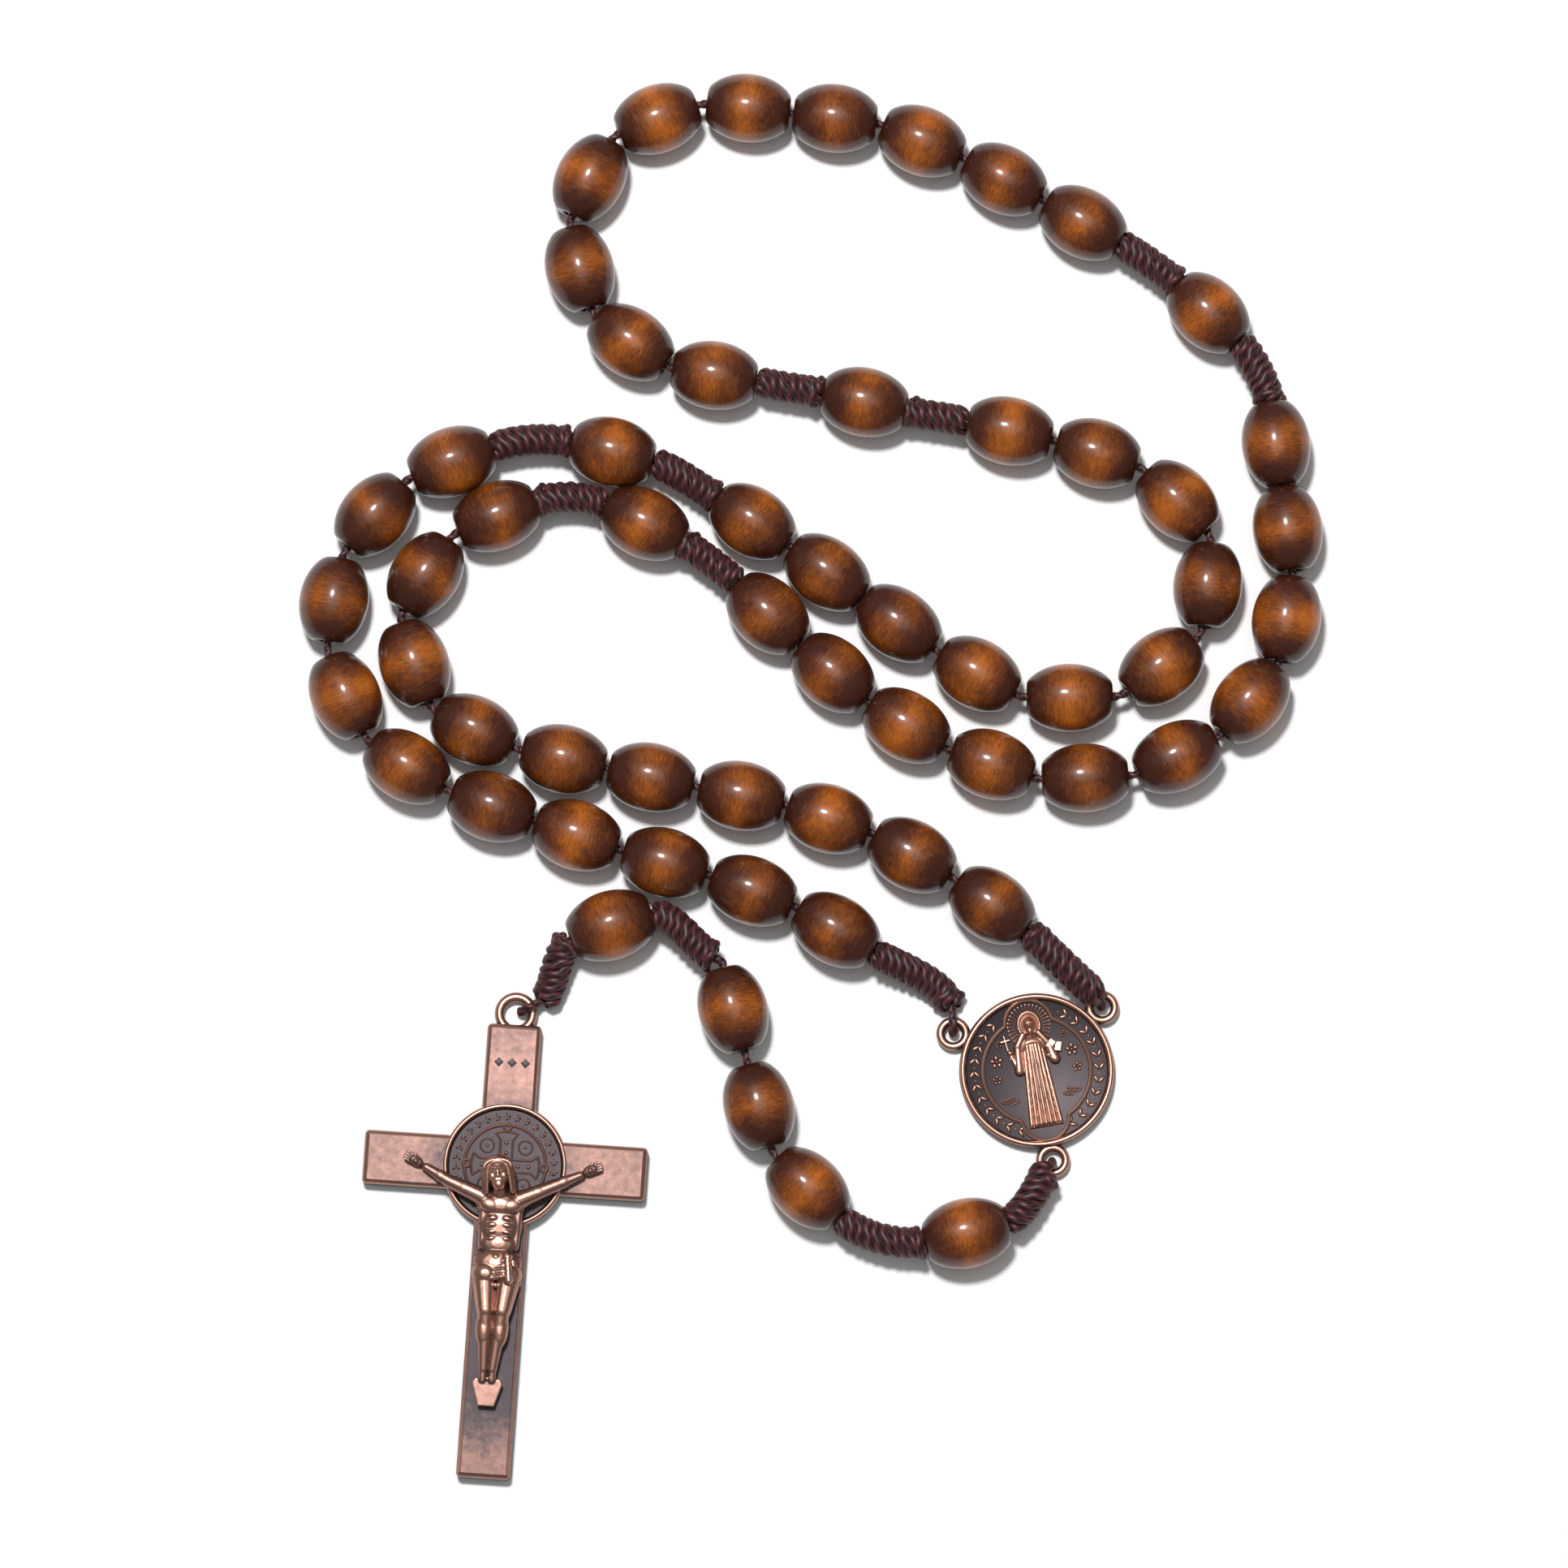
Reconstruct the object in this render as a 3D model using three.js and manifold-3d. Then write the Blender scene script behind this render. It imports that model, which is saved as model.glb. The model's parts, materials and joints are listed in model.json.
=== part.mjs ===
// Corded wooden rosary with a round centre medal and a crucifix, lying on a table.
// Millimetres, +Z up. The origin is the middle of the centre medal's flat back.
import * as THREE from 'three';
import { mergeVertices } from 'three/addons/utils/BufferGeometryUtils.js';
import Module from 'manifold-3d';

const wasm = await Module();
wasm.setup();

// ---- Driving dimensions ------------------------------------------------------------

// Oval wooden beads
const BEAD_LENGTH = 9.8;
const BEAD_DIAMETER = 8.2;
const BEAD_END_DIAMETER = 3.9; // flat face round each bore mouth
const BORE_CLEARANCE = 0.35; // all round the cord
const BEAD_SIDES = 12;

// Cord and its barrel knots
const CORD_DIAMETER = 1.1;
const KNOT_LENGTH = 8.1; // the four knots beside the rings
const KNOT_DIAMETER = 3.4;
const KNOT_END_DIAMETER = 1.9;
const KNOT_TAPER = 1.0;
const KNOT_CLEARANCE = 0.35; // knot end to bead face
const CORD_SIDES = 8;

// Centre medal
const MEDAL_DIAMETER = 18.1;
const MEDAL_TILT = 10; // degrees, medal's top towards -X
const MEDAL_FIELD = 1.6; // thickness at the sunk field
const MEDAL_RIM = 2.2; // thickness at the rim
const MEDAL_RIM_WIDTH = 0.8;
const INNER_LINE_RADIUS = 6.3;
const RING_OUTER = 4.0;
const RING_HOLE = 2.0;
const RING_ANGLE = 56; // upper rings, either side of the medal's top
const RING_INSET = 0.4; // how far a ring runs into the medal's edge
const RING_HEIGHT = 1.1; // height of the rings' middle plane over the table

// Crucifix
const CROSS_HEIGHT = 52.9;
const CROSS_SPAN = 33.0;
const CROSS_ARM = 6.3; // width of every arm
const CROSS_THICKNESS = 2.6;
const CROSS_TILT = 3.8; // degrees, crucifix's top towards +X
const CROSS_TOP_TO_DISC = 16.5; // top edge to the middle of the disc
const CROSS_DISC = 14.6;
const CROSS_BEVEL = 0.6; // along the arms' front and back edges
const CROSS_RIM_WIDTH = 0.75; // raised rim round the sunk middle of the disc
const CROSS_RECESS = 0.6;
const CROSS_RING_OUTER = 5.0;
const CROSS_RING_HOLE = 2.8;
const CROSS_RING_STAND = 1.4; // top edge to the ring's centre

// Figure on the crucifix
const FIGURE_GAP = 0.3; // figure's flat back over the cross
const FIGURE_REACH = 10.6; // middle line to each hand
const FIGURE_DROP = 27.6; // disc's middle to the bottom of the foot rest

// How the cord is laid
const LOOP_END_ROOM = 0.6; // bead face to the loop cord's corner, on the beads beside the medal
const TAIL_END_ROOM = 1.1; // the same on the tail, where the knot by the crucifix is steeper
const TAIL_HOOK_TURN = 20; // degrees, each ring hook of the tail off the line to its bead

// The bead size and medal size that the route below was laid out for
const ROUTE_BEAD_LENGTH = 9.8;
const ROUTE_BEAD_DIAMETER = 8.2;
const ROUTE_MEDAL_DIAMETER = 18.1;

// ---- Route of the cord, chosen by hand: the middle of each bead and knot ---------------

const bead = (name) => (at) => ({ kind: 'bead', name, at, count: 1 });
const knot = (at) => ({ kind: 'knot', at, count: 1 });
const two = (number) => String(number).padStart(2, '0');

// One decade: ten beads, of which the two starting at `pairFrom` are one turning piece.
function decade(number, pairFrom, points) {
  const stops = points.map((at, i) => bead(`decade_${number}_bead_${two(i + 1)}`)(at));
  const [first, second] = stops.slice(pairFrom - 1, pairFrom + 1);
  const pair = bead(`decade_${number}_beads_${two(pairFrom)}_${two(pairFrom + 1)}`)(
    [(first.at[0] + second.at[0]) / 2, (first.at[1] + second.at[1]) / 2],
  );
  stops.splice(pairFrom - 1, 2, { ...pair, count: 2 });
  return stops;
}

const LOOP_ROUTE = [
  ...decade(1, 5, [[-5.2, 19.0], [-14.7, 25.1], [-24.3, 29.4], [-34.5, 31.9], [-44.8, 34.2],
    [-55.1, 36.6], [-65.6, 39.4], [-73.0, 47.3], [-71.9, 58.5], [-62.6, 65.0]]),
  knot([-54.2, 66.8]), bead('our_father_bead_1')([-45.8, 64.2]), knot([-38.3, 59.4]),
  ...decade(2, 9, [[-31.2, 53.5], [-24.0, 46.4], [-15.2, 40.4], [-5.3, 35.6], [5.6, 34.0],
    [16.5, 36.6], [25.1, 43.1], [29.4, 52.9], [29.5, 63.6], [28.7, 73.9]]),
  knot([25.9, 82.4]), bead('our_father_bead_2')([20.3, 89.2]), knot([13.8, 95.0]),
  ...decade(3, 4, [[5.6, 100.0], [-3.6, 105.2], [-13.2, 109.6], [-23.4, 112.8], [-33.6, 114.4],
    [-44.2, 112.6], [-52.6, 105.4], [-53.6, 94.5], [-47.6, 85.2], [-37.4, 82.0]]),
  knot([-28.6, 80.4]), bead('our_father_bead_3')([-20.0, 78.6]), knot([-11.6, 76.8]),
  ...decade(4, 8, [[-3.2, 75.2], [6.9, 72.3], [16.7, 67.4], [20.6, 56.8], [14.6, 47.0],
    [3.8, 43.4], [-7.2, 46.4], [-15.9, 52.5], [-24.6, 58.6], [-33.2, 64.4]]),
  knot([-41.0, 69.1]), bead('our_father_bead_4')([-49.5, 73.0]), knot([-59.1, 73.4]),
  ...decade(5, 6, [[-68.4, 71.6], [-77.6, 65.4], [-82.2, 55.1], [-81.0, 43.6], [-73.4, 35.2],
    [-63.6, 30.6], [-53.6, 27.3], [-43.4, 24.2], [-33.2, 20.8], [-23.5, 16.3]]),
];

const TAIL_ROUTE = [
  bead('tail_bead_1')([-8.5, -19.4]), knot([-18.0, -19.0]), bead('tail_bead_2')([-27.0, -14.1]),
  bead('tail_bead_3')([-32.9, -4.4]), bead('tail_bead_4')([-34.9, 6.7]),
  knot([-40.6, 15.6]), bead('tail_bead_5')([-49.6, 17.2]),
];
const TAIL_PARTED_AFTER = 5; // stops on the medal's side of the pivot

const CROSS_RING_AT = [-60.8, 6.7];

// ---- Helpers -------------------------------------------------------------------------

const UP = new THREE.Vector3(0, 0, 1);
const radians = THREE.MathUtils.degToRad;

function material(color, roughness, metalness) {
  return new THREE.MeshStandardMaterial({ color, roughness, metalness });
}

const WOOD = material(0x96551a, 0.3, 0);
const CORD = material(0x2d1416, 0.7, 0);
const COPPER = material(0x8c5a48, 0.4, 1);

// A geometry with its shared vertices merged, as a solid that can be joined and cut.
function solid(geometry) {
  const plain = geometry.index ? geometry.toNonIndexed() : geometry.clone();
  for (const name of Object.keys(plain.attributes)) {
    if (name !== 'position') plain.deleteAttribute(name);
  }
  const merged = mergeVertices(plain, 1e-5);
  const index = Array.from(merged.index.array);
  const faces = [];
  for (let i = 0; i < index.length; i += 3) {
    const [a, b, c] = index.slice(i, i + 3);
    if (a !== b && b !== c && c !== a) faces.push(a, b, c);
  }
  return new wasm.Manifold(new wasm.Mesh({
    numProp: 3,
    vertProperties: Float32Array.from(merged.attributes.position.array),
    triVerts: Uint32Array.from(faces),
  }));
}

function geometryOf(manifold) {
  const mesh = manifold.getMesh();
  const geometry = new THREE.BufferGeometry();
  geometry.setAttribute('position', new THREE.BufferAttribute(mesh.vertProperties, 3));
  geometry.setIndex(new THREE.BufferAttribute(mesh.triVerts, 1));
  return geometry;
}

function joined(geometries) {
  return geometries.map(solid).reduce((whole, piece) => whole.add(piece));
}

function meshOf(name, geometry, look) {
  const mesh = new THREE.Mesh(geometry, look.clone());
  mesh.name = name;
  return mesh;
}

// Turns +Y to `along`, keeping +Z as near to straight up as it can be.
function basisAlong(along) {
  const y = along.clone().normalize();
  const x = new THREE.Vector3().crossVectors(y, UP).normalize();
  return new THREE.Matrix4().makeBasis(x, y, new THREE.Vector3().crossVectors(x, y));
}

function placed(geometry, at, along) {
  return geometry.applyMatrix4(basisAlong(along)).translate(at.x, at.y, at.z);
}

// A route whose steps fall on its own points, with its corners mitred.
class CornerRoute extends THREE.Curve {
  constructor(points) {
    super();
    this.points = points;
  }

  getPointAt(u) {
    const last = this.points.length - 1;
    const i = Math.min(Math.floor(u * last + 1e-6), last - 1);
    return this.points[i].clone().lerp(this.points[i + 1], u * last - i);
  }

  getPoint(t) {
    return this.getPointAt(t);
  }

  getTangentAt(u) {
    const last = this.points.length - 1;
    const i = Math.round(u * last);
    const before = this.points[Math.max(i - 1, 0)];
    const after = this.points[Math.min(i + 1, last)];
    const here = this.points[i];
    const leaving = after.clone().sub(here).normalize();
    return here.clone().sub(before).normalize().add(leaving).normalize();
  }
}

function regularShape(sides, radius) {
  const corners = Array.from({ length: sides }, (_, i) => {
    const turn = (2 * Math.PI * (i + 0.5)) / sides;
    return new THREE.Vector2(radius * Math.cos(turn), radius * Math.sin(turn));
  });
  return new THREE.Shape(corners);
}

function cordTube(points) {
  return new THREE.ExtrudeGeometry(regularShape(CORD_SIDES, CORD_DIAMETER / 2), {
    steps: points.length - 1,
    extrudePath: new CornerRoute(points),
    bevelEnabled: false,
  });
}

// ---- Beads ---------------------------------------------------------------------------

// Half outline of an oval bead from one flat face to the other, at `middle` on the axis.
function beadOutline(middle) {
  const half = BEAD_LENGTH / 2;
  const radius = BEAD_DIAMETER / 2;
  const ends = BEAD_END_DIAMETER / 2;
  const reach = half / Math.sqrt(1 - (ends / radius) ** 2); // ellipse that the faces cut
  return [-1, -0.56, 0, 0.56, 1].map((share) => {
    const along = share * half;
    return new THREE.Vector2(radius * Math.sqrt(1 - (along / reach) ** 2), middle + along);
  });
}

// One bead, or a row of beads that turn together, as one drilled solid.
function beadGeometry(middles) {
  const bore = CORD_DIAMETER / 2 + BORE_CLEARANCE;
  const outer = middles.flatMap(beadOutline);
  const first = middles[0] - BEAD_LENGTH / 2;
  const last = middles[middles.length - 1] + BEAD_LENGTH / 2;
  const inner = [new THREE.Vector2(bore, last), new THREE.Vector2(bore, first)];
  return new THREE.LatheGeometry([...outer, ...inner, outer[0]], BEAD_SIDES);
}

// ---- Laying out beads along a route ------------------------------------------------------

const ROUTE_SCALE = Math.max(
  BEAD_LENGTH / ROUTE_BEAD_LENGTH,
  BEAD_DIAMETER / ROUTE_BEAD_DIAMETER,
);
const MEDAL_GROWTH = (MEDAL_DIAMETER - ROUTE_MEDAL_DIAMETER) / 2;
const BEAD_HEIGHT = BEAD_DIAMETER / 2;

// Direction in the table's plane at `angle` degrees from +X.
function heading(angle) {
  return new THREE.Vector3(Math.cos(radians(angle)), Math.sin(radians(angle)), 0);
}

const MEDAL_UP = heading(90 + MEDAL_TILT);
const CROSS_UP = heading(90 - CROSS_TILT);

// A point of a route, moved with the medal that the route hangs on.
function onTable([x, y], away) {
  return new THREE.Vector3(x * ROUTE_SCALE, y * ROUTE_SCALE, BEAD_HEIGHT)
    .addScaledVector(away, MEDAL_GROWTH);
}

// Turns a route into a chain of straight links that meet end to end at the cord's corners.
function layOut(route, away, before, after, room) {
  const stops = route.map((stop) => ({
    ...stop,
    place: onTable(stop.at, away),
    half: (stop.count * (stop.kind === 'bead' ? BEAD_LENGTH : KNOT_LENGTH * 0.9)) / 2,
  }));
  stops.forEach((stop, i) => {
    const from = i > 0 ? stops[i - 1].place : before;
    const to = i < stops.length - 1 ? stops[i + 1].place : after;
    stop.along = to.clone().sub(from).setZ(0).normalize();
  });
  const first = stops[0];
  const last = stops[stops.length - 1];
  const corners = [
    first.place.clone().addScaledVector(first.along, -first.half - room),
    ...stops.slice(1).map((stop, i) => cornerBetween(stops[i], stop)),
    last.place.clone().addScaledVector(last.along, last.half + room),
  ];
  return stops.map((stop, i) => ({ ...stop, from: corners[i], to: corners[i + 1] }));
}

function cornerBetween(one, next) {
  const span = one.place.distanceTo(next.place) / (one.half + next.half);
  const end = one.place.clone().addScaledVector(one.along, span * one.half);
  const start = next.place.clone().addScaledVector(next.along, -span * next.half);
  return end.lerp(start, 0.5);
}

function beadMeshes(links) {
  return links.filter((link) => link.kind === 'bead').map((link) => {
    const apart = link.from.distanceTo(link.to) / 2;
    const middles = link.count === 2 ? [-apart / 2, apart / 2] : [0];
    const mesh = meshOf(link.name, beadGeometry(middles), WOOD);
    const turned = basisAlong(link.to.clone().sub(link.from));
    mesh.applyMatrix4(turned.setPosition(link.from.clone().lerp(link.to, 0.5)));
    return mesh;
  });
}

const cornersOf = (links) => [...links.map((link) => link.from), links[links.length - 1].to];

// A stretch of the cord, shortened by a length at each end.
function shortened(from, to, startGap, endGap = startGap) {
  const along = to.clone().sub(from).normalize();
  return [
    from.clone().addScaledVector(along, startGap),
    to.clone().addScaledVector(along, -endGap),
  ];
}

function knotsOf(links) {
  return links.filter((link) => link.kind === 'knot')
    .map((link) => shortened(link.from, link.to, KNOT_CLEARANCE));
}

// ---- Knots and ring hooks ------------------------------------------------------------

function knotGeometry([from, to]) {
  const length = to.distanceTo(from);
  const end = KNOT_END_DIAMETER / 2;
  const full = KNOT_DIAMETER / 2;
  const half = length / 2;
  const outline = [[0, -half], [end, -half], [full, KNOT_TAPER - half],
    [full, half - KNOT_TAPER], [end, half], [0, half]];
  const barrel = new THREE.LatheGeometry(outline.map(([r, y]) => new THREE.Vector2(r, y)), 10);
  return placed(barrel, from.clone().lerp(to, 0.5), to.clone().sub(from));
}

// A knot that starts beside a bead and ends short of a ring's hook.
function knotTowards(corner, hookStart) {
  const room = hookStart.distanceTo(corner) - KNOT_CLEARANCE;
  const spare = Math.max(room - KNOT_LENGTH, KNOT_CLEARANCE);
  return shortened(corner, hookStart, KNOT_CLEARANCE, spare);
}

// The cord's end over a ring's wire and down through its hole, like a link of a chain.
// `out` points from the ring's centre to the wire that the cord goes round.
function hookPoints(centre, out, outer, hole) {
  const wire = (outer - hole) / 4;
  const reach = wire + BORE_CLEARANCE + CORD_DIAMETER / 2;
  const middle = centre.clone().addScaledVector(out, hole / 2 + wire);
  return [130, 95, 60, 25, -12].map((angle) => {
    const turn = radians(angle);
    return middle.clone()
      .addScaledVector(out, -reach * Math.cos(turn))
      .addScaledVector(UP, reach * Math.sin(turn));
  });
}

function cordGeometry(points, knots) {
  return geometryOf(joined([cordTube(points), ...knots.map(knotGeometry)]));
}

// ---- Centre medal ----------------------------------------------------------------------

const RING_DISTANCE = MEDAL_DIAMETER / 2 + RING_OUTER / 2 - RING_INSET;

function ringCentre(angle) {
  return heading(90 + MEDAL_TILT + angle).multiplyScalar(RING_DISTANCE).setZ(RING_HEIGHT);
}

const RIGHT_RING = ringCentre(-RING_ANGLE);
const LEFT_RING = ringCentre(RING_ANGLE);
const BOTTOM_RING = ringCentre(180);

function ringGeometry(outer, hole, centre) {
  const wire = (outer - hole) / 4;
  const section = Array.from({ length: 9 }, (_, i) => {
    const turn = (2 * Math.PI * (i + 0.5)) / 8;
    return new THREE.Vector2(hole / 2 + wire + wire * Math.cos(turn), wire * Math.sin(turn));
  });
  return new THREE.LatheGeometry(section, 18).rotateX(Math.PI / 2)
    .translate(centre.x, centre.y, centre.z);
}

function medalDisc() {
  const edge = MEDAL_DIAMETER / 2;
  const inside = edge - MEDAL_RIM_WIDTH;
  const line = INNER_LINE_RADIUS;
  const outline = [[0, 0], [edge - 0.3, 0], [edge, 0.3], [edge, MEDAL_RIM - 0.3],
    [edge - 0.25, MEDAL_RIM], [inside + 0.2, MEDAL_RIM], [inside, MEDAL_FIELD],
    [line + 0.25, MEDAL_FIELD], [line, MEDAL_FIELD + 0.35], [line - 0.25, MEDAL_FIELD],
    [0, MEDAL_FIELD]];
  const points = outline.map(([r, y]) => new THREE.Vector2(r, y));
  return new THREE.LatheGeometry(points, 40).rotateX(Math.PI / 2);
}

// The plain standing figure in low relief: a robe, a hooded head and a round halo.
function medalFigure() {
  const relief = 0.35;
  const foot = -0.74 * INNER_LINE_RADIUS * 1.45;
  const robe = new THREE.CylinderGeometry(1.5, 2.1, 9.2, 12).scale(1, 1, relief)
    .translate(0, foot + 4.6, MEDAL_FIELD);
  const head = new THREE.SphereGeometry(1.1, 10, 6).scale(1, 1.15, 0.6)
    .translate(0, foot + 10.1, MEDAL_FIELD);
  return [robe, head].map((piece) => piece.rotateZ(radians(MEDAL_TILT)));
}

function centreMedal() {
  const rings = [RIGHT_RING, LEFT_RING, BOTTOM_RING]
    .map((centre) => ringGeometry(RING_OUTER, RING_HOLE, centre));
  return meshOf('centre_medal',
    geometryOf(joined([medalDisc(), ...medalFigure(), ...rings])), COPPER);
}

// ---- Crucifix --------------------------------------------------------------------------

const CROSS_RING = onTable(CROSS_RING_AT, MEDAL_UP.clone().negate()).setZ(RING_HEIGHT);
const CROSS_MIDDLE = CROSS_RING.clone().setZ(0)
  .addScaledVector(CROSS_UP, -(CROSS_RING_STAND + CROSS_TOP_TO_DISC));

// From the crucifix's own axes, with its disc's middle at the origin, to the table.
function ontoCross(geometry) {
  return geometry.rotateZ(-radians(CROSS_TILT))
    .translate(CROSS_MIDDLE.x, CROSS_MIDDLE.y, 0);
}

function rectangle(x0, y0, x1, y1) {
  return new THREE.Shape([[x0, y0], [x1, y0], [x1, y1], [x0, y1]]
    .map(([x, y]) => new THREE.Vector2(x, y)));
}

function slab(shape, z0, z1, bevel = 0) {
  return new THREE.ExtrudeGeometry(shape, {
    depth: z1 - z0 - 2 * bevel,
    bevelEnabled: bevel > 0,
    bevelThickness: bevel,
    bevelSize: bevel,
    bevelOffset: -bevel,
    bevelSegments: 1,
    curveSegments: 40,
  }).translate(0, 0, z0 + bevel);
}

function discShape(radius) {
  return regularShape(40, radius);
}

function crossGeometry() {
  const arm = CROSS_ARM / 2;
  const top = CROSS_TOP_TO_DISC;
  const foot = top - CROSS_HEIGHT;
  const side = CROSS_SPAN / 2;
  const disc = CROSS_DISC / 2;
  const t = CROSS_THICKNESS;
  let body = joined([
    slab(rectangle(-arm, foot, arm, top), 0, t, CROSS_BEVEL),
    slab(rectangle(-side, -arm, side, arm), 0, t, CROSS_BEVEL),
    slab(discShape(disc), 0, t, 0.35),
  ]);
  body = body.subtract(solid(slab(discShape(disc - CROSS_RIM_WIDTH), t - CROSS_RECESS, t + 1)));
  const ringUp = CROSS_TOP_TO_DISC + CROSS_RING_STAND;
  const centre = new THREE.Vector3(0, ringUp, RING_HEIGHT);
  const ring = solid(ringGeometry(CROSS_RING_OUTER, CROSS_RING_HOLE, centre));
  return geometryOf(body.add(ring));
}

function crossMesh() {
  return meshOf('crucifix_cross', ontoCross(crossGeometry()), COPPER);
}

// A round limb between two points of the crucifix's own axes.
function limb(from, to, radiusFrom, radiusTo) {
  const a = new THREE.Vector3(...from);
  const b = new THREE.Vector3(...to);
  const along = b.clone().sub(a);
  const piece = new THREE.CylinderGeometry(radiusTo, radiusFrom, along.length(), 8);
  return placed(piece, a.lerp(b, 0.5), along);
}

function ball(at, x, y, z) {
  return new THREE.SphereGeometry(1, 10, 8).scale(x, y, z).translate(...at);
}

function figureMesh() {
  const back = CROSS_THICKNESS + FIGURE_GAP;
  const knee = -FIGURE_DROP * 0.7;
  const feet = -FIGURE_DROP + 2.6;
  const pieces = [
    ball([-0.5, -1.7, back + 1.9], 1.75, 2.5, 1.6),
    limb([-0.3, -3.0, back + 1.2], [0, -6.0, back + 1.0], 1.1, 1.6),
    limb([0, -4.2, back + 0.7], [0.1, -10.4, back + 0.8], 2.6, 1.75),
    ball([0.1, -11.4, back + 0.7], 2.5, 2.3, 1.9),
  ];
  for (const side of [-1, 1]) {
    const hand = [side * FIGURE_REACH, 0.2, back + 0.5];
    const elbow = [side * 6.2, -2.2, back + 0.6];
    pieces.push(
      limb([side * 1.6, -4.6, back + 0.8], elbow, 1.1, 0.8),
      limb([side * 6.0, -2.3, back + 0.6], hand, 0.8, 0.6),
      ball(hand, 0.95, 0.95, 0.7),
      limb([side * 1.0, -11.5, back + 0.8], [side * 0.9, knee, back + 1.2], 1.3, 1.0),
      limb([side * 0.9, knee + 0.3, back + 1.2], [side * 0.55, feet, back + 0.7], 0.95, 0.7),
    );
  }
  pieces.push(slab(rectangle(-1.6, -FIGURE_DROP, 1.6, feet + 0.4), back, back + 1.1));
  const keep = solid(slab(rectangle(-30, -60, 30, 30), back, back + 20));
  return meshOf('crucifix_figure',
    ontoCross(geometryOf(joined(pieces).intersect(keep))), COPPER);
}

// ---- The three cords and all beads ---------------------------------------------------------

function loopPieces() {
  const rightHook = hookPoints(RIGHT_RING, MEDAL_UP, RING_OUTER, RING_HOLE);
  const leftHook = hookPoints(LEFT_RING, MEDAL_UP, RING_OUTER, RING_HOLE);
  const links = layOut(LOOP_ROUTE, MEDAL_UP, rightHook[0], leftHook[0], LOOP_END_ROOM);
  const corners = cornersOf(links);
  const knots = [
    knotTowards(corners[0], rightHook[0]),
    ...knotsOf(links),
    knotTowards(corners[corners.length - 1], leftHook[0]),
  ];
  const cord = cordGeometry([...rightHook.toReversed(), ...corners, ...leftHook], knots);
  return [meshOf('loop_cord', cord, CORD), ...beadMeshes(links)];
}

// The way that the cord leaves a ring towards the next bead.
function towards(ring, place) {
  return place.clone().sub(ring).setZ(0).normalize();
}

function tailPieces() {
  const away = MEDAL_UP.clone().negate();
  const firstBead = onTable(TAIL_ROUTE[0].at, away);
  const lastBead = onTable(TAIL_ROUTE[TAIL_ROUTE.length - 1].at, away);
  const medalHook = hookPoints(BOTTOM_RING, towards(BOTTOM_RING, firstBead)
    .applyAxisAngle(UP, radians(TAIL_HOOK_TURN)), RING_OUTER, RING_HOLE);
  const crossHook = hookPoints(CROSS_RING, towards(CROSS_RING, lastBead)
    .applyAxisAngle(UP, -radians(TAIL_HOOK_TURN)), CROSS_RING_OUTER, CROSS_RING_HOLE);
  const beforeFirst = firstBead.clone().lerp(medalHook[0], 0.6);
  const afterLast = lastBead.clone().lerp(crossHook[0], 0.9);

  const links = layOut(TAIL_ROUTE, away, beforeFirst, afterLast, TAIL_END_ROOM);
  const upper = links.slice(0, TAIL_PARTED_AFTER);
  const lower = links.slice(TAIL_PARTED_AFTER);
  const upperCorners = cornersOf(upper);
  const lowerCorners = cornersOf(lower);
  const parting = CORD_DIAMETER / 2 + BORE_CLEARANCE;
  const lastLink = upper[upper.length - 1];
  const upperEnd = shortened(lastLink.from, lastLink.to, 0, parting)[1];

  const upperCord = cordGeometry(
    [...medalHook.toReversed(), ...upperCorners.slice(0, -1), upperEnd],
    [knotTowards(upperCorners[0], medalHook[0]), ...knotsOf(upper)],
  );
  const lowerCord = cordGeometry(
    [...lowerCorners, ...crossHook],
    [...knotsOf(lower), knotTowards(lowerCorners[lowerCorners.length - 1], crossHook[0])],
  );
  return [
    meshOf('tail_cord_upper', upperCord, CORD),
    meshOf('tail_cord_lower', lowerCord, CORD),
    ...beadMeshes(links),
  ];
}

const rosary = new THREE.Group();
rosary.add(centreMedal(), ...loopPieces(), ...tailPieces(), crossMesh(), figureMesh());

export default rosary;
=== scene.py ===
"""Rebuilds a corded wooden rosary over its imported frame: turned beads, a twisted cord with
barrel knots, a round centre medal and a crucifix, lying on a pale table.

Laid out as an add-on, and run as a script."""

import json
import math
import random
from collections import namedtuple

import bmesh
import bpy
from bpy.props import FloatProperty, FloatVectorProperty, IntProperty, PointerProperty
from mathutils import Matrix, Vector

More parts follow.
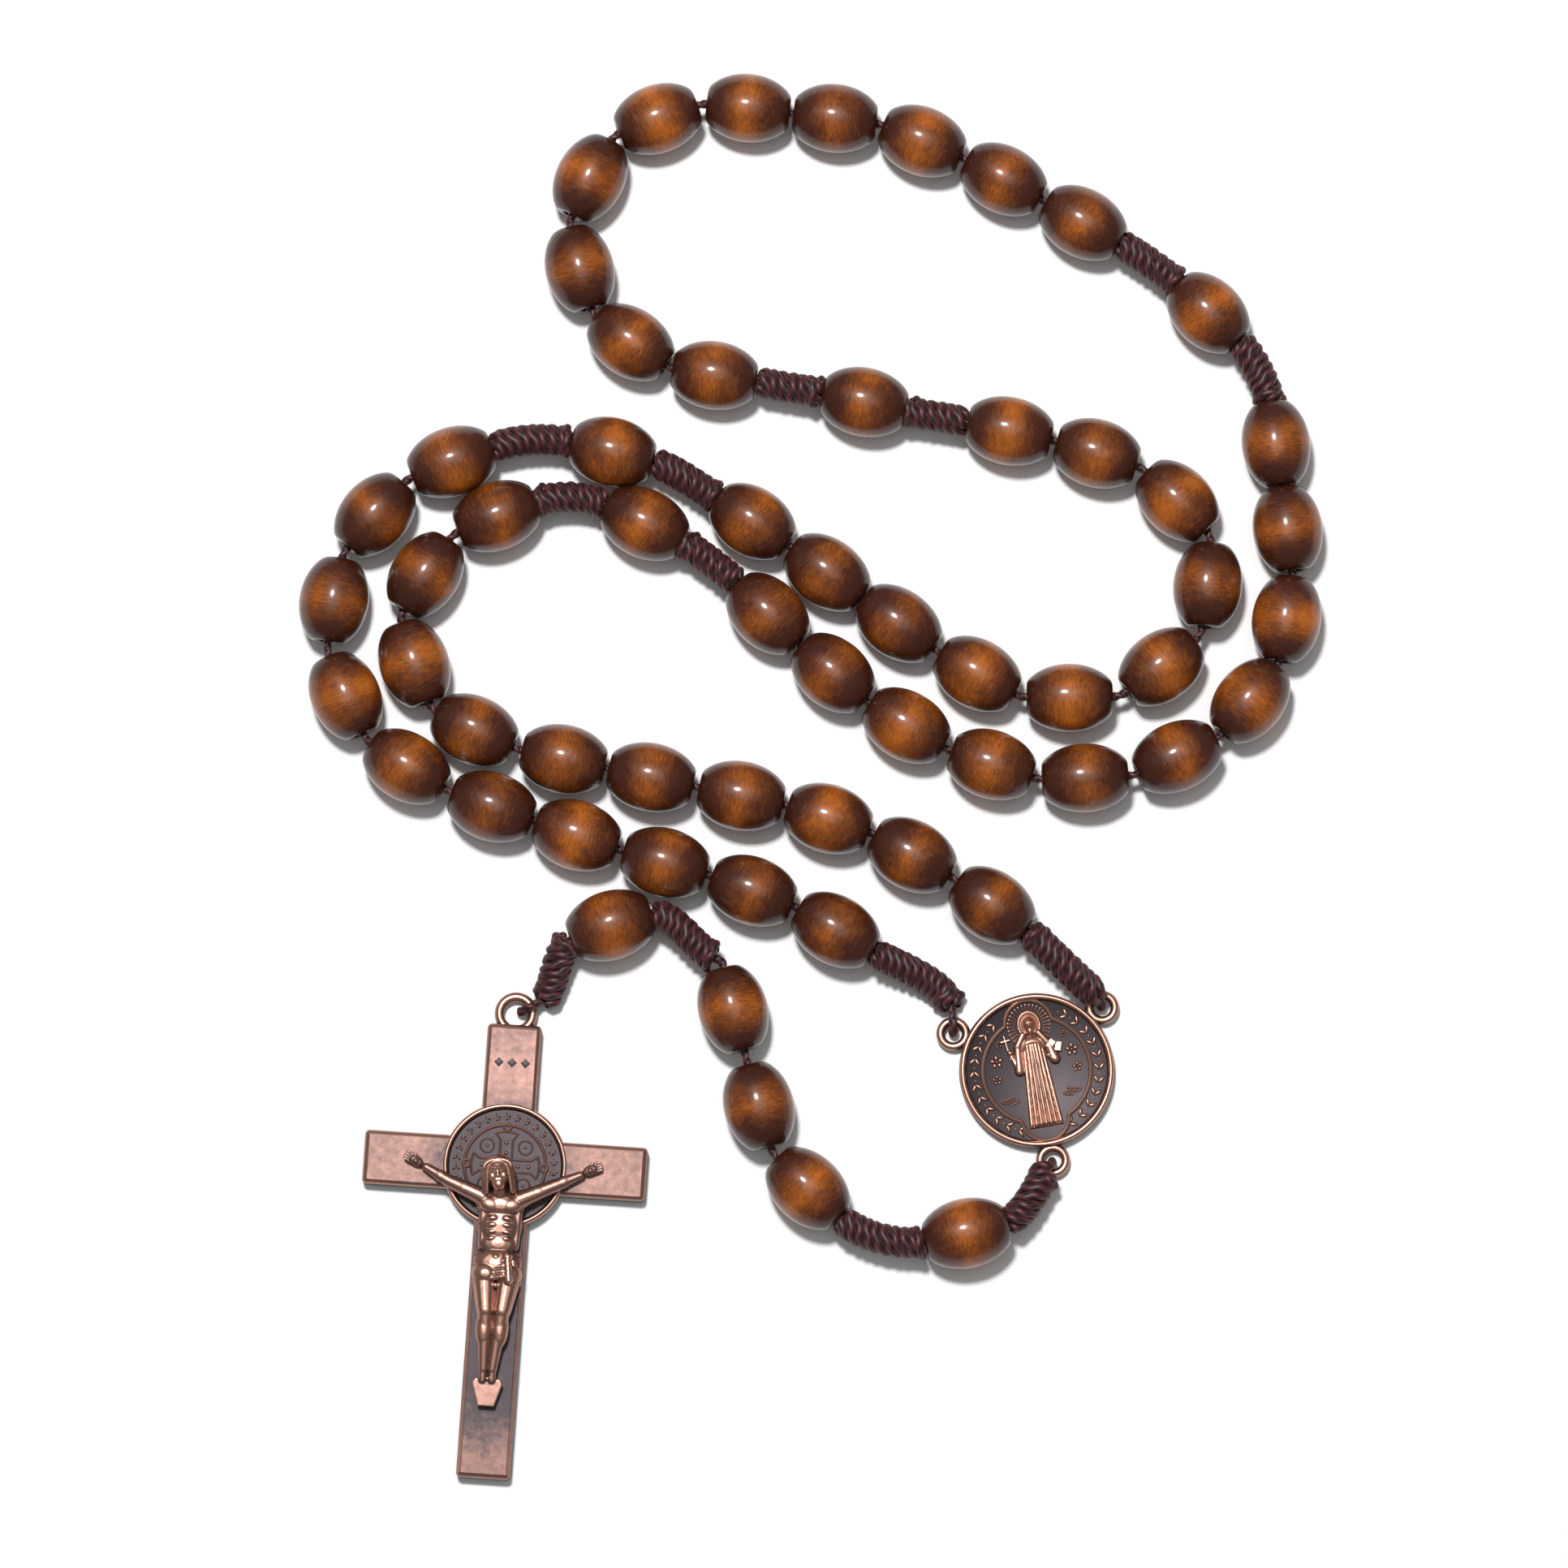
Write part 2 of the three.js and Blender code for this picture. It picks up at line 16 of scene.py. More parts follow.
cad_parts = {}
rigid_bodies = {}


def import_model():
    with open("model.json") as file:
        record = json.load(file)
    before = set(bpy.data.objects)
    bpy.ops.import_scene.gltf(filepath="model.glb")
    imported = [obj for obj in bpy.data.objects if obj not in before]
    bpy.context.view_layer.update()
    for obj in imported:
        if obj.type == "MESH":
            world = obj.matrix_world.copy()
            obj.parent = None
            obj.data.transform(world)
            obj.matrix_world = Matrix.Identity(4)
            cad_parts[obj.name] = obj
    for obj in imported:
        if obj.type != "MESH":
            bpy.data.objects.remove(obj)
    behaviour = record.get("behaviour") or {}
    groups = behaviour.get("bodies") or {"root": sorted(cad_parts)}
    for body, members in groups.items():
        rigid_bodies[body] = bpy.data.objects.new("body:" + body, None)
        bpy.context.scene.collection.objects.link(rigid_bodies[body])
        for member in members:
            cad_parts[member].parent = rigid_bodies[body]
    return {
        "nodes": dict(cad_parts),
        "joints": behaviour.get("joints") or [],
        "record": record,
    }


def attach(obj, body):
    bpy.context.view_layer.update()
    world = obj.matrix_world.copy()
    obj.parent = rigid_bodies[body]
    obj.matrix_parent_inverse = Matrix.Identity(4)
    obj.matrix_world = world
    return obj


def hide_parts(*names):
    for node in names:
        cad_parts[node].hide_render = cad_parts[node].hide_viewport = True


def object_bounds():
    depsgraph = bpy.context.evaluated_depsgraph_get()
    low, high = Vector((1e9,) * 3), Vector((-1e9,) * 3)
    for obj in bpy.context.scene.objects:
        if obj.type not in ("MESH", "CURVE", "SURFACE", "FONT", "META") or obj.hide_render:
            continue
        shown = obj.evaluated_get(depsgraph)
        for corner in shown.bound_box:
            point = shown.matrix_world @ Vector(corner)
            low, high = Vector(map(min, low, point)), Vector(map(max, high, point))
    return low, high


bl_info = {
    "name": "Corded Rosary",
    "version": (1, 0, 0),
    "blender": (4, 5, 0),
    "location": "3D View > Sidebar > Rosary",
    "description": "Builds a wooden bead rosary with its cord, medal and crucifix",
    "category": "Object",
}

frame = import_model()
CAD_LOW, CAD_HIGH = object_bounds()

MM = 0.001
UP = Vector((0, 0, 1))
TURN = 2 * math.pi

# Directions and places that the frame gives
MEDAL_TILT = math.radians(10)
CROSS_TILT = math.radians(-3.8)
JOINTS = {joint["name"]: joint for joint in frame["joints"]}


# ---- Settings ---------------------------------------------------------------------------


def size_setting(name, description, default):
    return FloatProperty(name=name, description=description, default=default,
                         subtype="DISTANCE", unit="LENGTH")


def tint_setting(name, description, default):
    return FloatVectorProperty(name=name, description=description, default=default,
                               subtype="COLOR", min=0, max=1)


class BeadSettings(bpy.types.PropertyGroup):
    length: size_setting("Length", "Bead from face to face", 10.05 * MM)
    diameter: size_setting("Diameter", "Bead at its middle", 8.2 * MM)
    face: size_setting("Face", "Flat face round the bore", 3.9 * MM)
    bore: size_setting("Bore", "Drilled hole", 1.8 * MM)
    # Amber is the colour of the painted glow of reflected light across a bead's middle, laid
    # over the stain
    amber: tint_setting("Amber", "Stain where it is thin", (0.45, 0.117, 0.010))
    # Brown is the stain at a bead's ends, where it gathers and where the painted glow fades
    # out
    brown: tint_setting("Brown", "Stain where it has gathered", (0.060, 0.0136, 0.0053))
    seed: IntProperty(name="Seed", description="Bead to bead variation", default=7)


class CordSettings(bpy.types.PropertyGroup):
    diameter: size_setting("Diameter", "Twisted cord", 1.1 * MM)
    twist: size_setting("Twist", "Length of one turn of the plies", 2.4 * MM)
    knot: size_setting("Knot", "Diameter of a barrel knot", 3.75 * MM)
    colour: tint_setting("Colour", "Dyed cord", (0.034, 0.0075, 0.009))


class MetalSettings(bpy.types.PropertyGroup):
    bright: tint_setting(
        "Bright copper", "Rubbed edges and high places", (0.58, 0.315, 0.235))
    middle: tint_setting("Copper", "Plain faces", (0.29, 0.160, 0.130))
    dark: tint_setting("Patina", "Sunk places", (0.062, 0.051, 0.054))


class StageSettings(bpy.types.PropertyGroup):
    elevation: FloatProperty(
        name="Camera elevation", description="Above the table", default=math.radians(83),
        subtype="ANGLE", unit="ROTATION")
    distance: size_setting("Camera distance", "From the point it looks at", 0.9)
    width: size_setting("View width", "Width of table in view", 0.1835)


# ---- Mesh helpers -----------------------------------------------------------------------


def finished(name, bm, material, to_world=None, smooth=math.radians(40)):
    """Turns a bmesh into a piece whose place is in its mesh."""
    if to_world:
        bmesh.ops.transform(bm, matrix=to_world, verts=bm.verts)
    mesh = bpy.data.meshes.new(name)
    bm.to_mesh(mesh)
    bm.free()
    mesh.materials.append(material)
    mesh.shade_smooth()
    if smooth:
        mesh.set_sharp_from_angle(angle=smooth)
    piece = bpy.data.objects.new(name, mesh)
    bpy.context.scene.collection.objects.link(piece)
    return piece


def spun(outline, steps, closed=True):
    """An outline of (radius, height) corners spun round Z into a solid. An open outline
    starts and ends on Z."""
    bm = bmesh.new()
    verts = [bm.verts.new((radius, 0, height)) for radius, height in outline]
    for one, two in zip(verts, verts[1:] + (verts[:1] if closed else [])):
        bm.edges.new((one, two))
    bmesh.ops.spin(
        bm, geom=bm.verts[:] + bm.edges[:], cent=(0, 0, 0), axis=UP, angle=TURN,
        steps=steps, use_merge=True)
    bmesh.ops.remove_doubles(bm, verts=bm.verts, dist=1e-7)
    bmesh.ops.recalc_face_normals(bm, faces=bm.faces)
    return bm


def joined(*parts):
    """Several bmeshes as one."""
    whole = bmesh.new()
    for part in parts:
        mesh = bpy.data.meshes.new("part")
        part.to_mesh(mesh)
        part.free()
        whole.from_mesh(mesh)
        bpy.data.meshes.remove(mesh)
    return whole


def ball(bm, centre, radii, turn=0.0, segments=20):
    """An egg shape, turned about Z."""
    place = Matrix.Translation(centre) @ Matrix.Rotation(turn, 4, "Z")
    bmesh.ops.create_uvsphere(
        bm, u_segments=segments, v_segments=segments // 2, radius=1,
        matrix=place @ Matrix.Diagonal((*radii, 1)))


def rod(bm, start, end, radius_start, radius_end, segments, overlap=1.0):
    """A round tapered rod with flat ends, as many times its length as `overlap` says."""
    along = end - start
    turned = along.to_track_quat("Z", "Y").to_matrix().to_4x4()
    bmesh.ops.create_cone(
        bm, cap_ends=True, segments=segments, radius1=radius_start, radius2=radius_end,
        depth=along.length * overlap, matrix=Matrix.Translation((start + end) / 2) @ turned)


def limb(bm, start, end, radius_start, radius_end, segments=16):
    """A round tapered rod with round ends."""
    start, end = Vector(start), Vector(end)
    rod(bm, start, end, radius_start, radius_end, segments)
    ball(bm, start, (radius_start,) * 3, segments=segments)
    ball(bm, end, (radius_end,) * 3, segments=segments)


def block(bm, centre, size, turn=0.0, bevel=0.0):
    """A box, turned about Z, with its edges rounded."""
    place = Matrix.Translation(centre) @ Matrix.Rotation(turn, 4, "Z")
    made = bmesh.ops.create_cube(bm, size=1, matrix=place @ Matrix.Diagonal((*size, 1)))
    if bevel:
        edges = {edge for vert in made["verts"] for edge in vert.link_edges}
        bmesh.ops.bevel(
            bm, geom=list(edges), offset=bevel, affect="EDGES", segments=2, profile=0.5,
            material=-1)


def cast(name, bm, voxel, smoothing, to_world, material):
    """Fuses overlapping shapes into one smooth casting, worked in millimetres."""
    piece = finished(name, bm, material, smooth=None)
    remesh = piece.modifiers.new("fuse", "REMESH")
    remesh.mode = "VOXEL"
    remesh.voxel_size = voxel
    soften = piece.modifiers.new("soften", "SMOOTH")
    soften.factor = 0.5
    soften.iterations = smoothing
    fused = bpy.data.meshes.new_from_object(
        piece.evaluated_get(bpy.context.evaluated_depsgraph_get()))
    piece.modifiers.clear()
    piece.data = fused
    fused.name = name
    store_wear(fused)
    fused.transform(to_world)
    if not fused.materials:
        fused.materials.append(material)
    fused.shade_smooth()
    return piece


def store_wear(mesh):
    """Writes how proud or sunk each point is, -1 to 1, as the attribute "wear"."""
    bm = bmesh.new()
    bm.from_mesh(mesh)
    bm.verts.ensure_lookup_table()
    bm.normal_update()
    wear_and_edge_highlight = []
    for vert in bm.verts:
        lean = sum(-vert.normal.dot((edge.other_vert(vert).co - vert.co).normalized())
                   for edge in vert.link_edges)
        wear_and_edge_highlight.append(lean / max(len(vert.link_edges), 1))
    for _ in range(2):
        wear_and_edge_highlight = [
            0.5 * wear_and_edge_highlight[vert.index] + 0.5 * sum(
                wear_and_edge_highlight[edge.other_vert(vert).index] for edge in vert.link_edges)
            / max(len(vert.link_edges), 1)
            for vert in bm.verts]
    bm.free()
    store(mesh, "wear_and_edge_highlight", [max(-1.0, min(1.0, 5 * value)) for value in wear_and_edge_highlight])


def store(mesh, name, values):
    """Writes one number per point as an attribute that a material reads."""
    mesh.attributes.new(name, "FLOAT", "POINT").data.foreach_set("value", values)


def hand_over(pieces, body):
    """Gives finished pieces their body."""
    for piece in pieces:
        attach(piece, body)


# ---- Shader helpers ---------------------------------------------------------------------


def group_with(name, inputs, outputs):
    group = bpy.data.node_groups.new(name, "ShaderNodeTree")
    for label, kind, default in inputs:
        socket = group.interface.new_socket(label, in_out="INPUT", socket_type=kind)
        socket.default_value = default
    for label, kind in outputs:
        group.interface.new_socket(label, in_out="OUTPUT", socket_type=kind)
    return group


def wire(tree, *pairs):
    for source, target in pairs:
        tree.links.new(source, target)


def node(tree, kind, **settings):
    made = tree.nodes.new("ShaderNode" + kind)
    for key, value in settings.items():
        if key.startswith("in_"):
            key = key[3:]
            made.inputs[int(key) if key.isdigit() else key].default_value = value
        else:
            setattr(made, key, value)
    return made


def sum_of(tree, kind, one, two, clamp=False):
    made = node(tree, "Math", operation=kind, use_clamp=clamp)
    for socket, value in zip(made.inputs, (one, two)):
        if isinstance(value, (int, float)):
            socket.default_value = value
        else:
            tree.links.new(value, socket)
    return made.outputs[0]


def ramp(tree, source, *stops):
    made = node(tree, "ValToRGB")
    elements = made.color_ramp.elements
    while len(elements) < len(stops):
        elements.new(0.5)
    for element, (place, value) in zip(elements, stops):
        element.position = place
        element.color = (*value, 1) if len(value) == 3 else value
    tree.links.new(source, made.inputs[0])
    return made.outputs[0]


def plus(tree, one, two, share, clamp=False):
    """The first value and a share of the second."""
    return sum_of(tree, "ADD", one, sum_of(tree, "MULTIPLY", two, share), clamp)


def grey(value):
    return (value, value, value)


def mixed(tree, factor, one, two, blend="MIX"):
    made = node(tree, "Mix", data_type="RGBA", blend_type=blend)
    if isinstance(factor, (int, float)):
        made.inputs[0].default_value = factor
    else:
        tree.links.new(factor, made.inputs[0])
    for socket, value in ((made.inputs[6], one), (made.inputs[7], two)):
        if isinstance(value, tuple):
            socket.default_value = (*value, 1)
        else:
            tree.links.new(value, socket)
    return made.outputs[2]


def fresh_material(name, **sockets):
    material = bpy.data.materials.new(name)
    material.use_nodes = True
    tree = material.node_tree
    shader = tree.nodes["Principled BSDF"]
    for label, value in sockets.items():
        shader.inputs[label.replace("_", " ")].default_value = value
    return material, tree, shader


def noise_at(tree, vector, scale, detail=3.0, roughness=0.5, squeeze=None):
    """Noise in the vector's own units, squeezed along its axes."""
    if squeeze:
        mapping = node(tree, "Mapping", in_Scale=squeeze)
        tree.links.new(vector, mapping.inputs["Vector"])
        vector = mapping.outputs[0]
    made = node(tree, "TexNoise", in_Scale=scale, in_Detail=detail, in_Roughness=roughness)
    tree.links.new(vector, made.inputs["Vector"])
    return made.outputs["Fac"]


# ---- Materials --------------------------------------------------------------------------


def stained_wood(settings):
    """Varnished wood with a painted reflection: an amber glow of light across each bead's
    middle, fading to the darker stain at its ends. "bead_mm" is a point's place in its bead,
    with the bore along Z.
    """
    material, tree, shader = fresh_material(
        "stained_wood", Specular_IOR_Level=0.2, Coat_Weight=0.8, Coat_Roughness=0.13,
        Coat_IOR=1.36)
    place = node(tree, "Attribute", attribute_name="bead_mm").outputs["Vector"]
    tone = node(tree, "Attribute", attribute_name="bead_tone").outputs["Fac"]
    end = node(tree, "Attribute", attribute_name="bead_end").outputs["Fac"]
    patches = noise_at(tree, place, 0.30, 2.0, 0.5)
    flecks = noise_at(tree, place, 1.7, 4.0, 0.65, squeeze=(0.45, 0.8, 2.4))
    pores = noise_at(tree, place, 6.0, 2.0, 0.6, squeeze=(0.35, 0.8, 2.4))
    # Painted reflection: the amber glow is brightest across a bead's middle and fades
    # towards its ends, where the real stain is also darker; the patches add more painted
    # glow, the flecks are grain
    glow = plus(tree, sum_of(tree, "MULTIPLY", patches, 0.7), flecks, 0.75)
    glow = plus(tree, plus(tree, glow, end, -0.85), tone, 0.10, clamp=True)
    brown, amber = tuple(settings.brown), tuple(settings.amber)
    middle = tuple(0.62 * b + 0.30 * a for a, b in zip(amber, brown))
    stain_and_painted_glow = ramp(tree, glow,
                 (0.0, tuple(0.7 * c for c in brown)), (0.28, brown), (0.58, middle),
                 (0.95, amber))
    dark_pores = ramp(tree, pores, (0.33, grey(0.55)), (0.50, grey(1.0)))
    wire(tree, (mixed(tree, 0.5, stain_and_painted_glow, dark_pores, "MULTIPLY"),
                shader.inputs["Base Color"]))
    rough = ramp(tree, flecks, (0.3, grey(0.36)), (0.7, grey(0.50)))
    wire(tree, (rough, shader.inputs["Roughness"]))
    bump = node(tree, "Bump", in_Strength=0.10, in_Distance=0.00006)
    wire(tree, (plus(tree, flecks, pores, 0.6), bump.inputs["Height"]),
         (bump.outputs[0], shader.inputs["Normal"]))
    return material


def dyed_cord_painted_crowns(settings):
    """Waxed twisted cord, with painted highlights on the crowns of the plies and painted
    shade in the grooves. "ply" is 1 on the crown of a ply and 0 in the groove.
    """
    material, tree, shader = fresh_material(
        "dyed_cord_painted_crowns", Roughness=0.48, Sheen_Weight=0.25, Sheen_Roughness=0.4,
        Sheen_Tint=(0.75, 0.45, 0.42, 1))
    place = node(tree, "TexCoord").outputs["Object"]
    ply = node(tree, "Attribute", attribute_name="ply").outputs["Fac"]
    fibres = noise_at(tree, place, 5200.0, 3.0, 0.6)
    blotches = noise_at(tree, place, 420.0, 2.0)
    colour = tuple(settings.colour)
    # Painted highlight and shade: the dye colour is brightened on each ply's crown and
    # darkened in the groove between plies
    crown = ramp(tree, plus(tree, sum_of(tree, "MULTIPLY", ply, 0.75), fibres, 0.35),
                 (0.15, tuple(0.35 * c for c in colour)), (0.62, colour),
                 (1.0, tuple(3.4 * c for c in colour)))
    shade = ramp(tree, blotches, (0.3, grey(0.75)), (0.7, grey(1.0)))
    wire(tree, (mixed(tree, 0.8, crown, shade, "MULTIPLY"), shader.inputs["Base Color"]))
    bump = node(tree, "Bump", in_Strength=0.35, in_Distance=0.00005)
    wire(tree, (fibres, bump.inputs["Height"]), (bump.outputs[0], shader.inputs["Normal"]))
    return material


def patina_group():
    """How bright antique copper is: proud places rubbed clean, sunk ones left dark."""
    group = group_with(
        "antique_patina",
        [("Height", "NodeSocketFloat", 0.5), ("Wear_and_edge_highlight", "NodeSocketFloat", 0.0),
         ("Grain", "NodeSocketFloat", 900.0), ("Bright", "NodeSocketColor", (1, 1, 1, 1)),
         ("Middle", "NodeSocketColor", (0.5, 0.5, 0.5, 1)),
         ("Dark", "NodeSocketColor", (0, 0, 0, 1))],
        [("Color", "NodeSocketColor"), ("Roughness", "NodeSocketFloat"),
         ("Relief", "NodeSocketFloat")])
    given = group.nodes.new("NodeGroupInput").outputs
    result = group.nodes.new("NodeGroupOutput").inputs
    place = node(group, "TexCoord").outputs["Object"]
    speckle = node(group, "TexNoise", in_Detail=4.0, in_Roughness=0.65)
    clouds = node(group, "TexNoise", in_Scale=160.0, in_Detail=3.0)
    wire(group, (place, speckle.inputs["Vector"]), (place, clouds.inputs["Vector"]),
         (given["Grain"], speckle.inputs["Scale"]))
    # The wear input holds rubbed wear; on the crucifix's rims and chamfers it also holds a
    # painted highlight
    level = plus(group, given["Height"], given["Wear_and_edge_highlight"], 0.7)
    for noise, share in ((speckle, 0.34), (clouds, 0.25)):
        uneven = sum_of(group, "SUBTRACT", noise.outputs["Fac"], 0.5)
        level = plus(group, level, uneven, share, clamp=noise == clouds)
    low = node(group, "MapRange", in_1=0.10, in_2=0.45)
    high = node(group, "MapRange", in_1=0.5, in_2=1.0)
    wire(group, (level, low.inputs[0]), (level, high.inputs[0]))
    colour = mixed(group, low.outputs[0], given["Dark"], given["Middle"])
    wire(group, (mixed(group, high.outputs[0], colour, given["Bright"]), result["Color"]))
    rough = node(group, "MapRange", in_3=0.52, in_4=0.32)
    wire(group, (level, rough.inputs[0]), (rough.outputs[0], result["Roughness"]),
         (speckle.outputs["Fac"], result["Relief"]))
    return group


def antique_copper(name, settings, low, high, bias, grain, shade=None):
    """Copper that darkens from `high` down to `low`, two heights over the table.
    `shade` adds nodes for a further level, which scales the height's."""
    material, tree, shader = fresh_material(name, Metallic=1.0)
    patina = bpy.data.node_groups.get("antique_patina") or patina_group()
    holder = node(tree, "Group", node_tree=patina)
    holder.inputs["Grain"].default_value = grain
    for label in ("bright", "middle", "dark"):
        holder.inputs[label.title()].default_value = (*getattr(settings, label), 1)
    place = node(tree, "SeparateXYZ")
    height = node(tree, "MapRange", in_1=low, in_2=high)
    wire(tree, (node(tree, "TexCoord").outputs["Object"], place.inputs[0]),
         (place.outputs["Z"], height.inputs[0]))
    raised = height.outputs[0]
    if shade:
        raised = sum_of(tree, "MULTIPLY", raised, shade(tree))
    raised = sum_of(tree, "ADD", raised, bias)
    wear_and_edge_highlight = node(tree, "Attribute", attribute_name="wear_and_edge_highlight").outputs["Fac"]
    bump = node(tree, "Bump", in_Strength=0.25, in_Distance=0.00005)
    wire(tree, (raised, holder.inputs["Height"]), (wear_and_edge_highlight, holder.inputs["Wear_and_edge_highlight"]),
         (holder.outputs["Color"], shader.inputs["Base Color"]),
         (holder.outputs["Roughness"], shader.inputs["Roughness"]),
         (holder.outputs["Relief"], bump.inputs["Height"]),
         (bump.outputs[0], shader.inputs["Normal"]))
    return material


# ---- Beads ------------------------------------------------------------------------------

Bead = namedtuple("Bead", "name node body centre axis")


def beads_on(body, length):
    """The beads strung on a cord's body, in order, with joined pairs told apart."""
    beads = []
    for joint in frame["joints"]:
        if joint["parent"] != body or not joint["name"].endswith("_spin"):
            continue
        name = joint["child"]
        centre, axis = Vector(joint["pos_m"]), Vector(joint["axis"]).normalized()
        along = [vert.co.dot(axis) for vert in frame["nodes"][name].data.vertices]
        apart = max(along) - min(along) - length
        shifts = {"": 0.0} if apart < MM else {"_first": -apart / 2, "_second": apart / 2}
        for suffix, shift in shifts.items():
            beads.append(
                Bead("wood_" + name + suffix, name, name, centre + shift * axis, axis))
    return beads


def bead_mesh(settings):
    """One oval bead with a drilled, softly broken bore, its axis along Z."""
    half, radius = settings.length / 2, settings.diameter / 2
    face, bore = settings.face / 2, settings.bore / 2
    reach = half / math.sqrt(1 - (face / radius) ** 2)
    soft = 0.22 * MM
    outline = []
    for i in range(23):
        along = -half + soft + (2 * half - 2 * soft) * i / 22
        outline.append((radius * math.sqrt(1 - (along / reach) ** 2), along))
    top = [(face, half - 0.35 * soft), (face - 0.8 * soft, half), (bore + 1.2 * soft, half),
           (bore + 0.3 * soft, half - 0.5 * soft), (bore, half - 1.6 * soft)]
    outline += top
    outline += [(r, -h) for r, h in reversed(top)]
    return spun(outline, 44)


def string_bead(bead, settings, material, draw):
    bm = bead_mesh(settings)
    reach = settings.length / 2
    grow = [1 - draw.uniform(0.0, 0.022) for _ in range(3)]
    shift = Vector([draw.uniform(-400, 400) for _ in range(3)])
    tone = draw.uniform(-1, 1)
    place = [vert.co / MM + shift for vert in bm.verts]
    ends = [min(1.0, abs(vert.co.z) / reach) ** 1.35 for vert in bm.verts]
    spin = Matrix.Rotation(draw.uniform(0, TURN), 4, "Z")
    turned = bead.axis.to_track_quat("Z", "Y").to_matrix().to_4x4()
    to_world = (Matrix.Translation(bead.centre) @ turned @ spin
                @ Matrix.Diagonal((grow[0], grow[0], grow[2], 1)))
    piece = finished(bead.name, bm, material, to_world, smooth=math.radians(50))
    mesh = piece.data
    mesh.attributes.new("bead_mm", "FLOAT_VECTOR", "POINT").data.foreach_set(
        "vector", [c for point in place for c in point])
    store(mesh, "bead_tone", [tone] * len(place))
    store(mesh, "bead_end", ends)
    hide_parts(bead.node)
    hand_over([piece], bead.body)


class ROSARY_OT_beads(bpy.types.Operator):
    """Turn and string every wooden bead"""

    bl_idname = "rosary.beads"
    bl_label = "Beads"

    def execute(self, context):
        settings = context.scene.rosary_beads
        material = stained_wood(settings)
        draw = random.Random(settings.seed)
        for body in ("loop", "tail_upper", "tail_lower"):
            for bead in beads_on(body, settings.length):
                string_bead(bead, settings, material, draw)
        return {"FINISHED"}


# ---- Cord, knots and eyes ---------------------------------------------------------------

SHORTEST_CORD = 30 * MM  # the shortest stretch between two joints that the length test at the end of lay() lets through
INSIDE = 0.9 * MM  # from a bead's face to where the cord starts to curve
SHORTEST_KNOT = 4 * MM  # a shorter space between beads shows bare cord
KNOT_STRANDS, KNOT_PITCH, KNOT_STEP = 5, 5.6 * MM, 0.12 * MM
KNOT_GAP, RING_GAP = 0.15 * MM, 0.8 * MM  # from a knot to a bead, and to the cord's end
EYE_REACH = 0.82 * MM  # from a ring wire's middle to the near side of the cord over it


def length_of(line):
    return sum((two - one).length for one, two in zip(line, line[1:]))


def smooth_between(start, start_way, end, end_way, steps):
    """Points of a smooth curve that leaves and arrives in the given directions."""
    pull = (end - start).length
    points = []
    for i in range(steps):
        t = i / steps
        a, b = 2 * t**3 - 3 * t**2 + 1, t**3 - 2 * t**2 + t
        c, d = -2 * t**3 + 3 * t**2, t**3 - t**2
        points.append(a * start + b * pull * start_way + c * end + d * pull * end_way)
    return points


def thread(beads, length, before, after):
    """A cord's line, straight through each bore and curving from bead to bead.
    `before` and `after` are a point and a direction outside the first and last bead.
    Also returns where each bead's two faces lie along the line."""
    reach = length / 2 - INSIDE
    line, faces = [], []
    here = before
    for bead in beads:
        start, end = bead.centre - reach * bead.axis, bead.centre + reach * bead.axis
        line += smooth_between(*here, start, bead.axis, 14)
        faces.append((bead.centre - length / 2 * bead.axis,
                      bead.centre + length / 2 * bead.axis))
        line += [start.lerp(end, i / 5) for i in range(5)]
        here = (end, bead.axis)
    return line + smooth_between(*here, *after, 14) + [after[0]], faces


def evenly(points, step):
    """The same line with its points a fixed step apart."""
    spaced = [points[0].copy()]
    left = step
    for one, two in zip(points, points[1:]):
        span = (two - one).length
        done = 0.0
        while span - done >= left > 0:
            done += left
            spaced.append(one.lerp(two, done / span))
            left = step
        left -= span - done
    if (spaced[-1] - points[-1]).length > step / 4:
        spaced.append(points[-1].copy())
    return spaced


def carried_frames(line):
    """A direction across the line at each point, carried along without spinning."""
    ways = [(line[min(i + 1, len(line) - 1)] - line[max(i - 1, 0)]).normalized()
            for i in range(len(line))]
    across = ways[0].orthogonal().normalized()
    frames = []
    for way in ways:
        across = (across - across.dot(way) * way).normalized()
        frames.append((way, across, way.cross(across)))
    return frames


def lay_rope(bm, line, radius, twist, start_turn=0.0, sides=12, taper=0.0, groove=0.34):
    """Two plies laid together along a line, as one closed tube with two lobes."""
    ply = bm.verts.layers.float.get("ply") or bm.verts.layers.float.new("ply")
    rings, run = [], 0.0
    total = length_of(line)
    for i, (point, (_, across, over)) in enumerate(zip(line, carried_frames(line))):
        run += (point - line[i - 1]).length if i else 0.0
        spin = start_turn + TURN * run / twist
        edge = min(run, total - run)
        thin = min(1.0, 0.55 + edge / taper) if taper else 1.0
        ring = []
        for k in range(sides):
            turn = TURN * k / sides
            crown = abs(math.cos(turn))
            reach = radius * thin * (1 - groove * (1 - crown))
            way = math.cos(turn + spin) * across + math.sin(turn + spin) * over
            vert = bm.verts.new(point + reach * way)
            vert[ply] = crown
            ring.append(vert)
        rings.append(ring)
    for one, two in zip(rings, rings[1:]):
        for k in range(sides):
            nxt = (k + 1) % sides
            bm.faces.new((one[k], one[nxt], two[nxt], two[k]))
    bm.faces.new(rings[0][::-1])
    bm.faces.new(rings[-1])


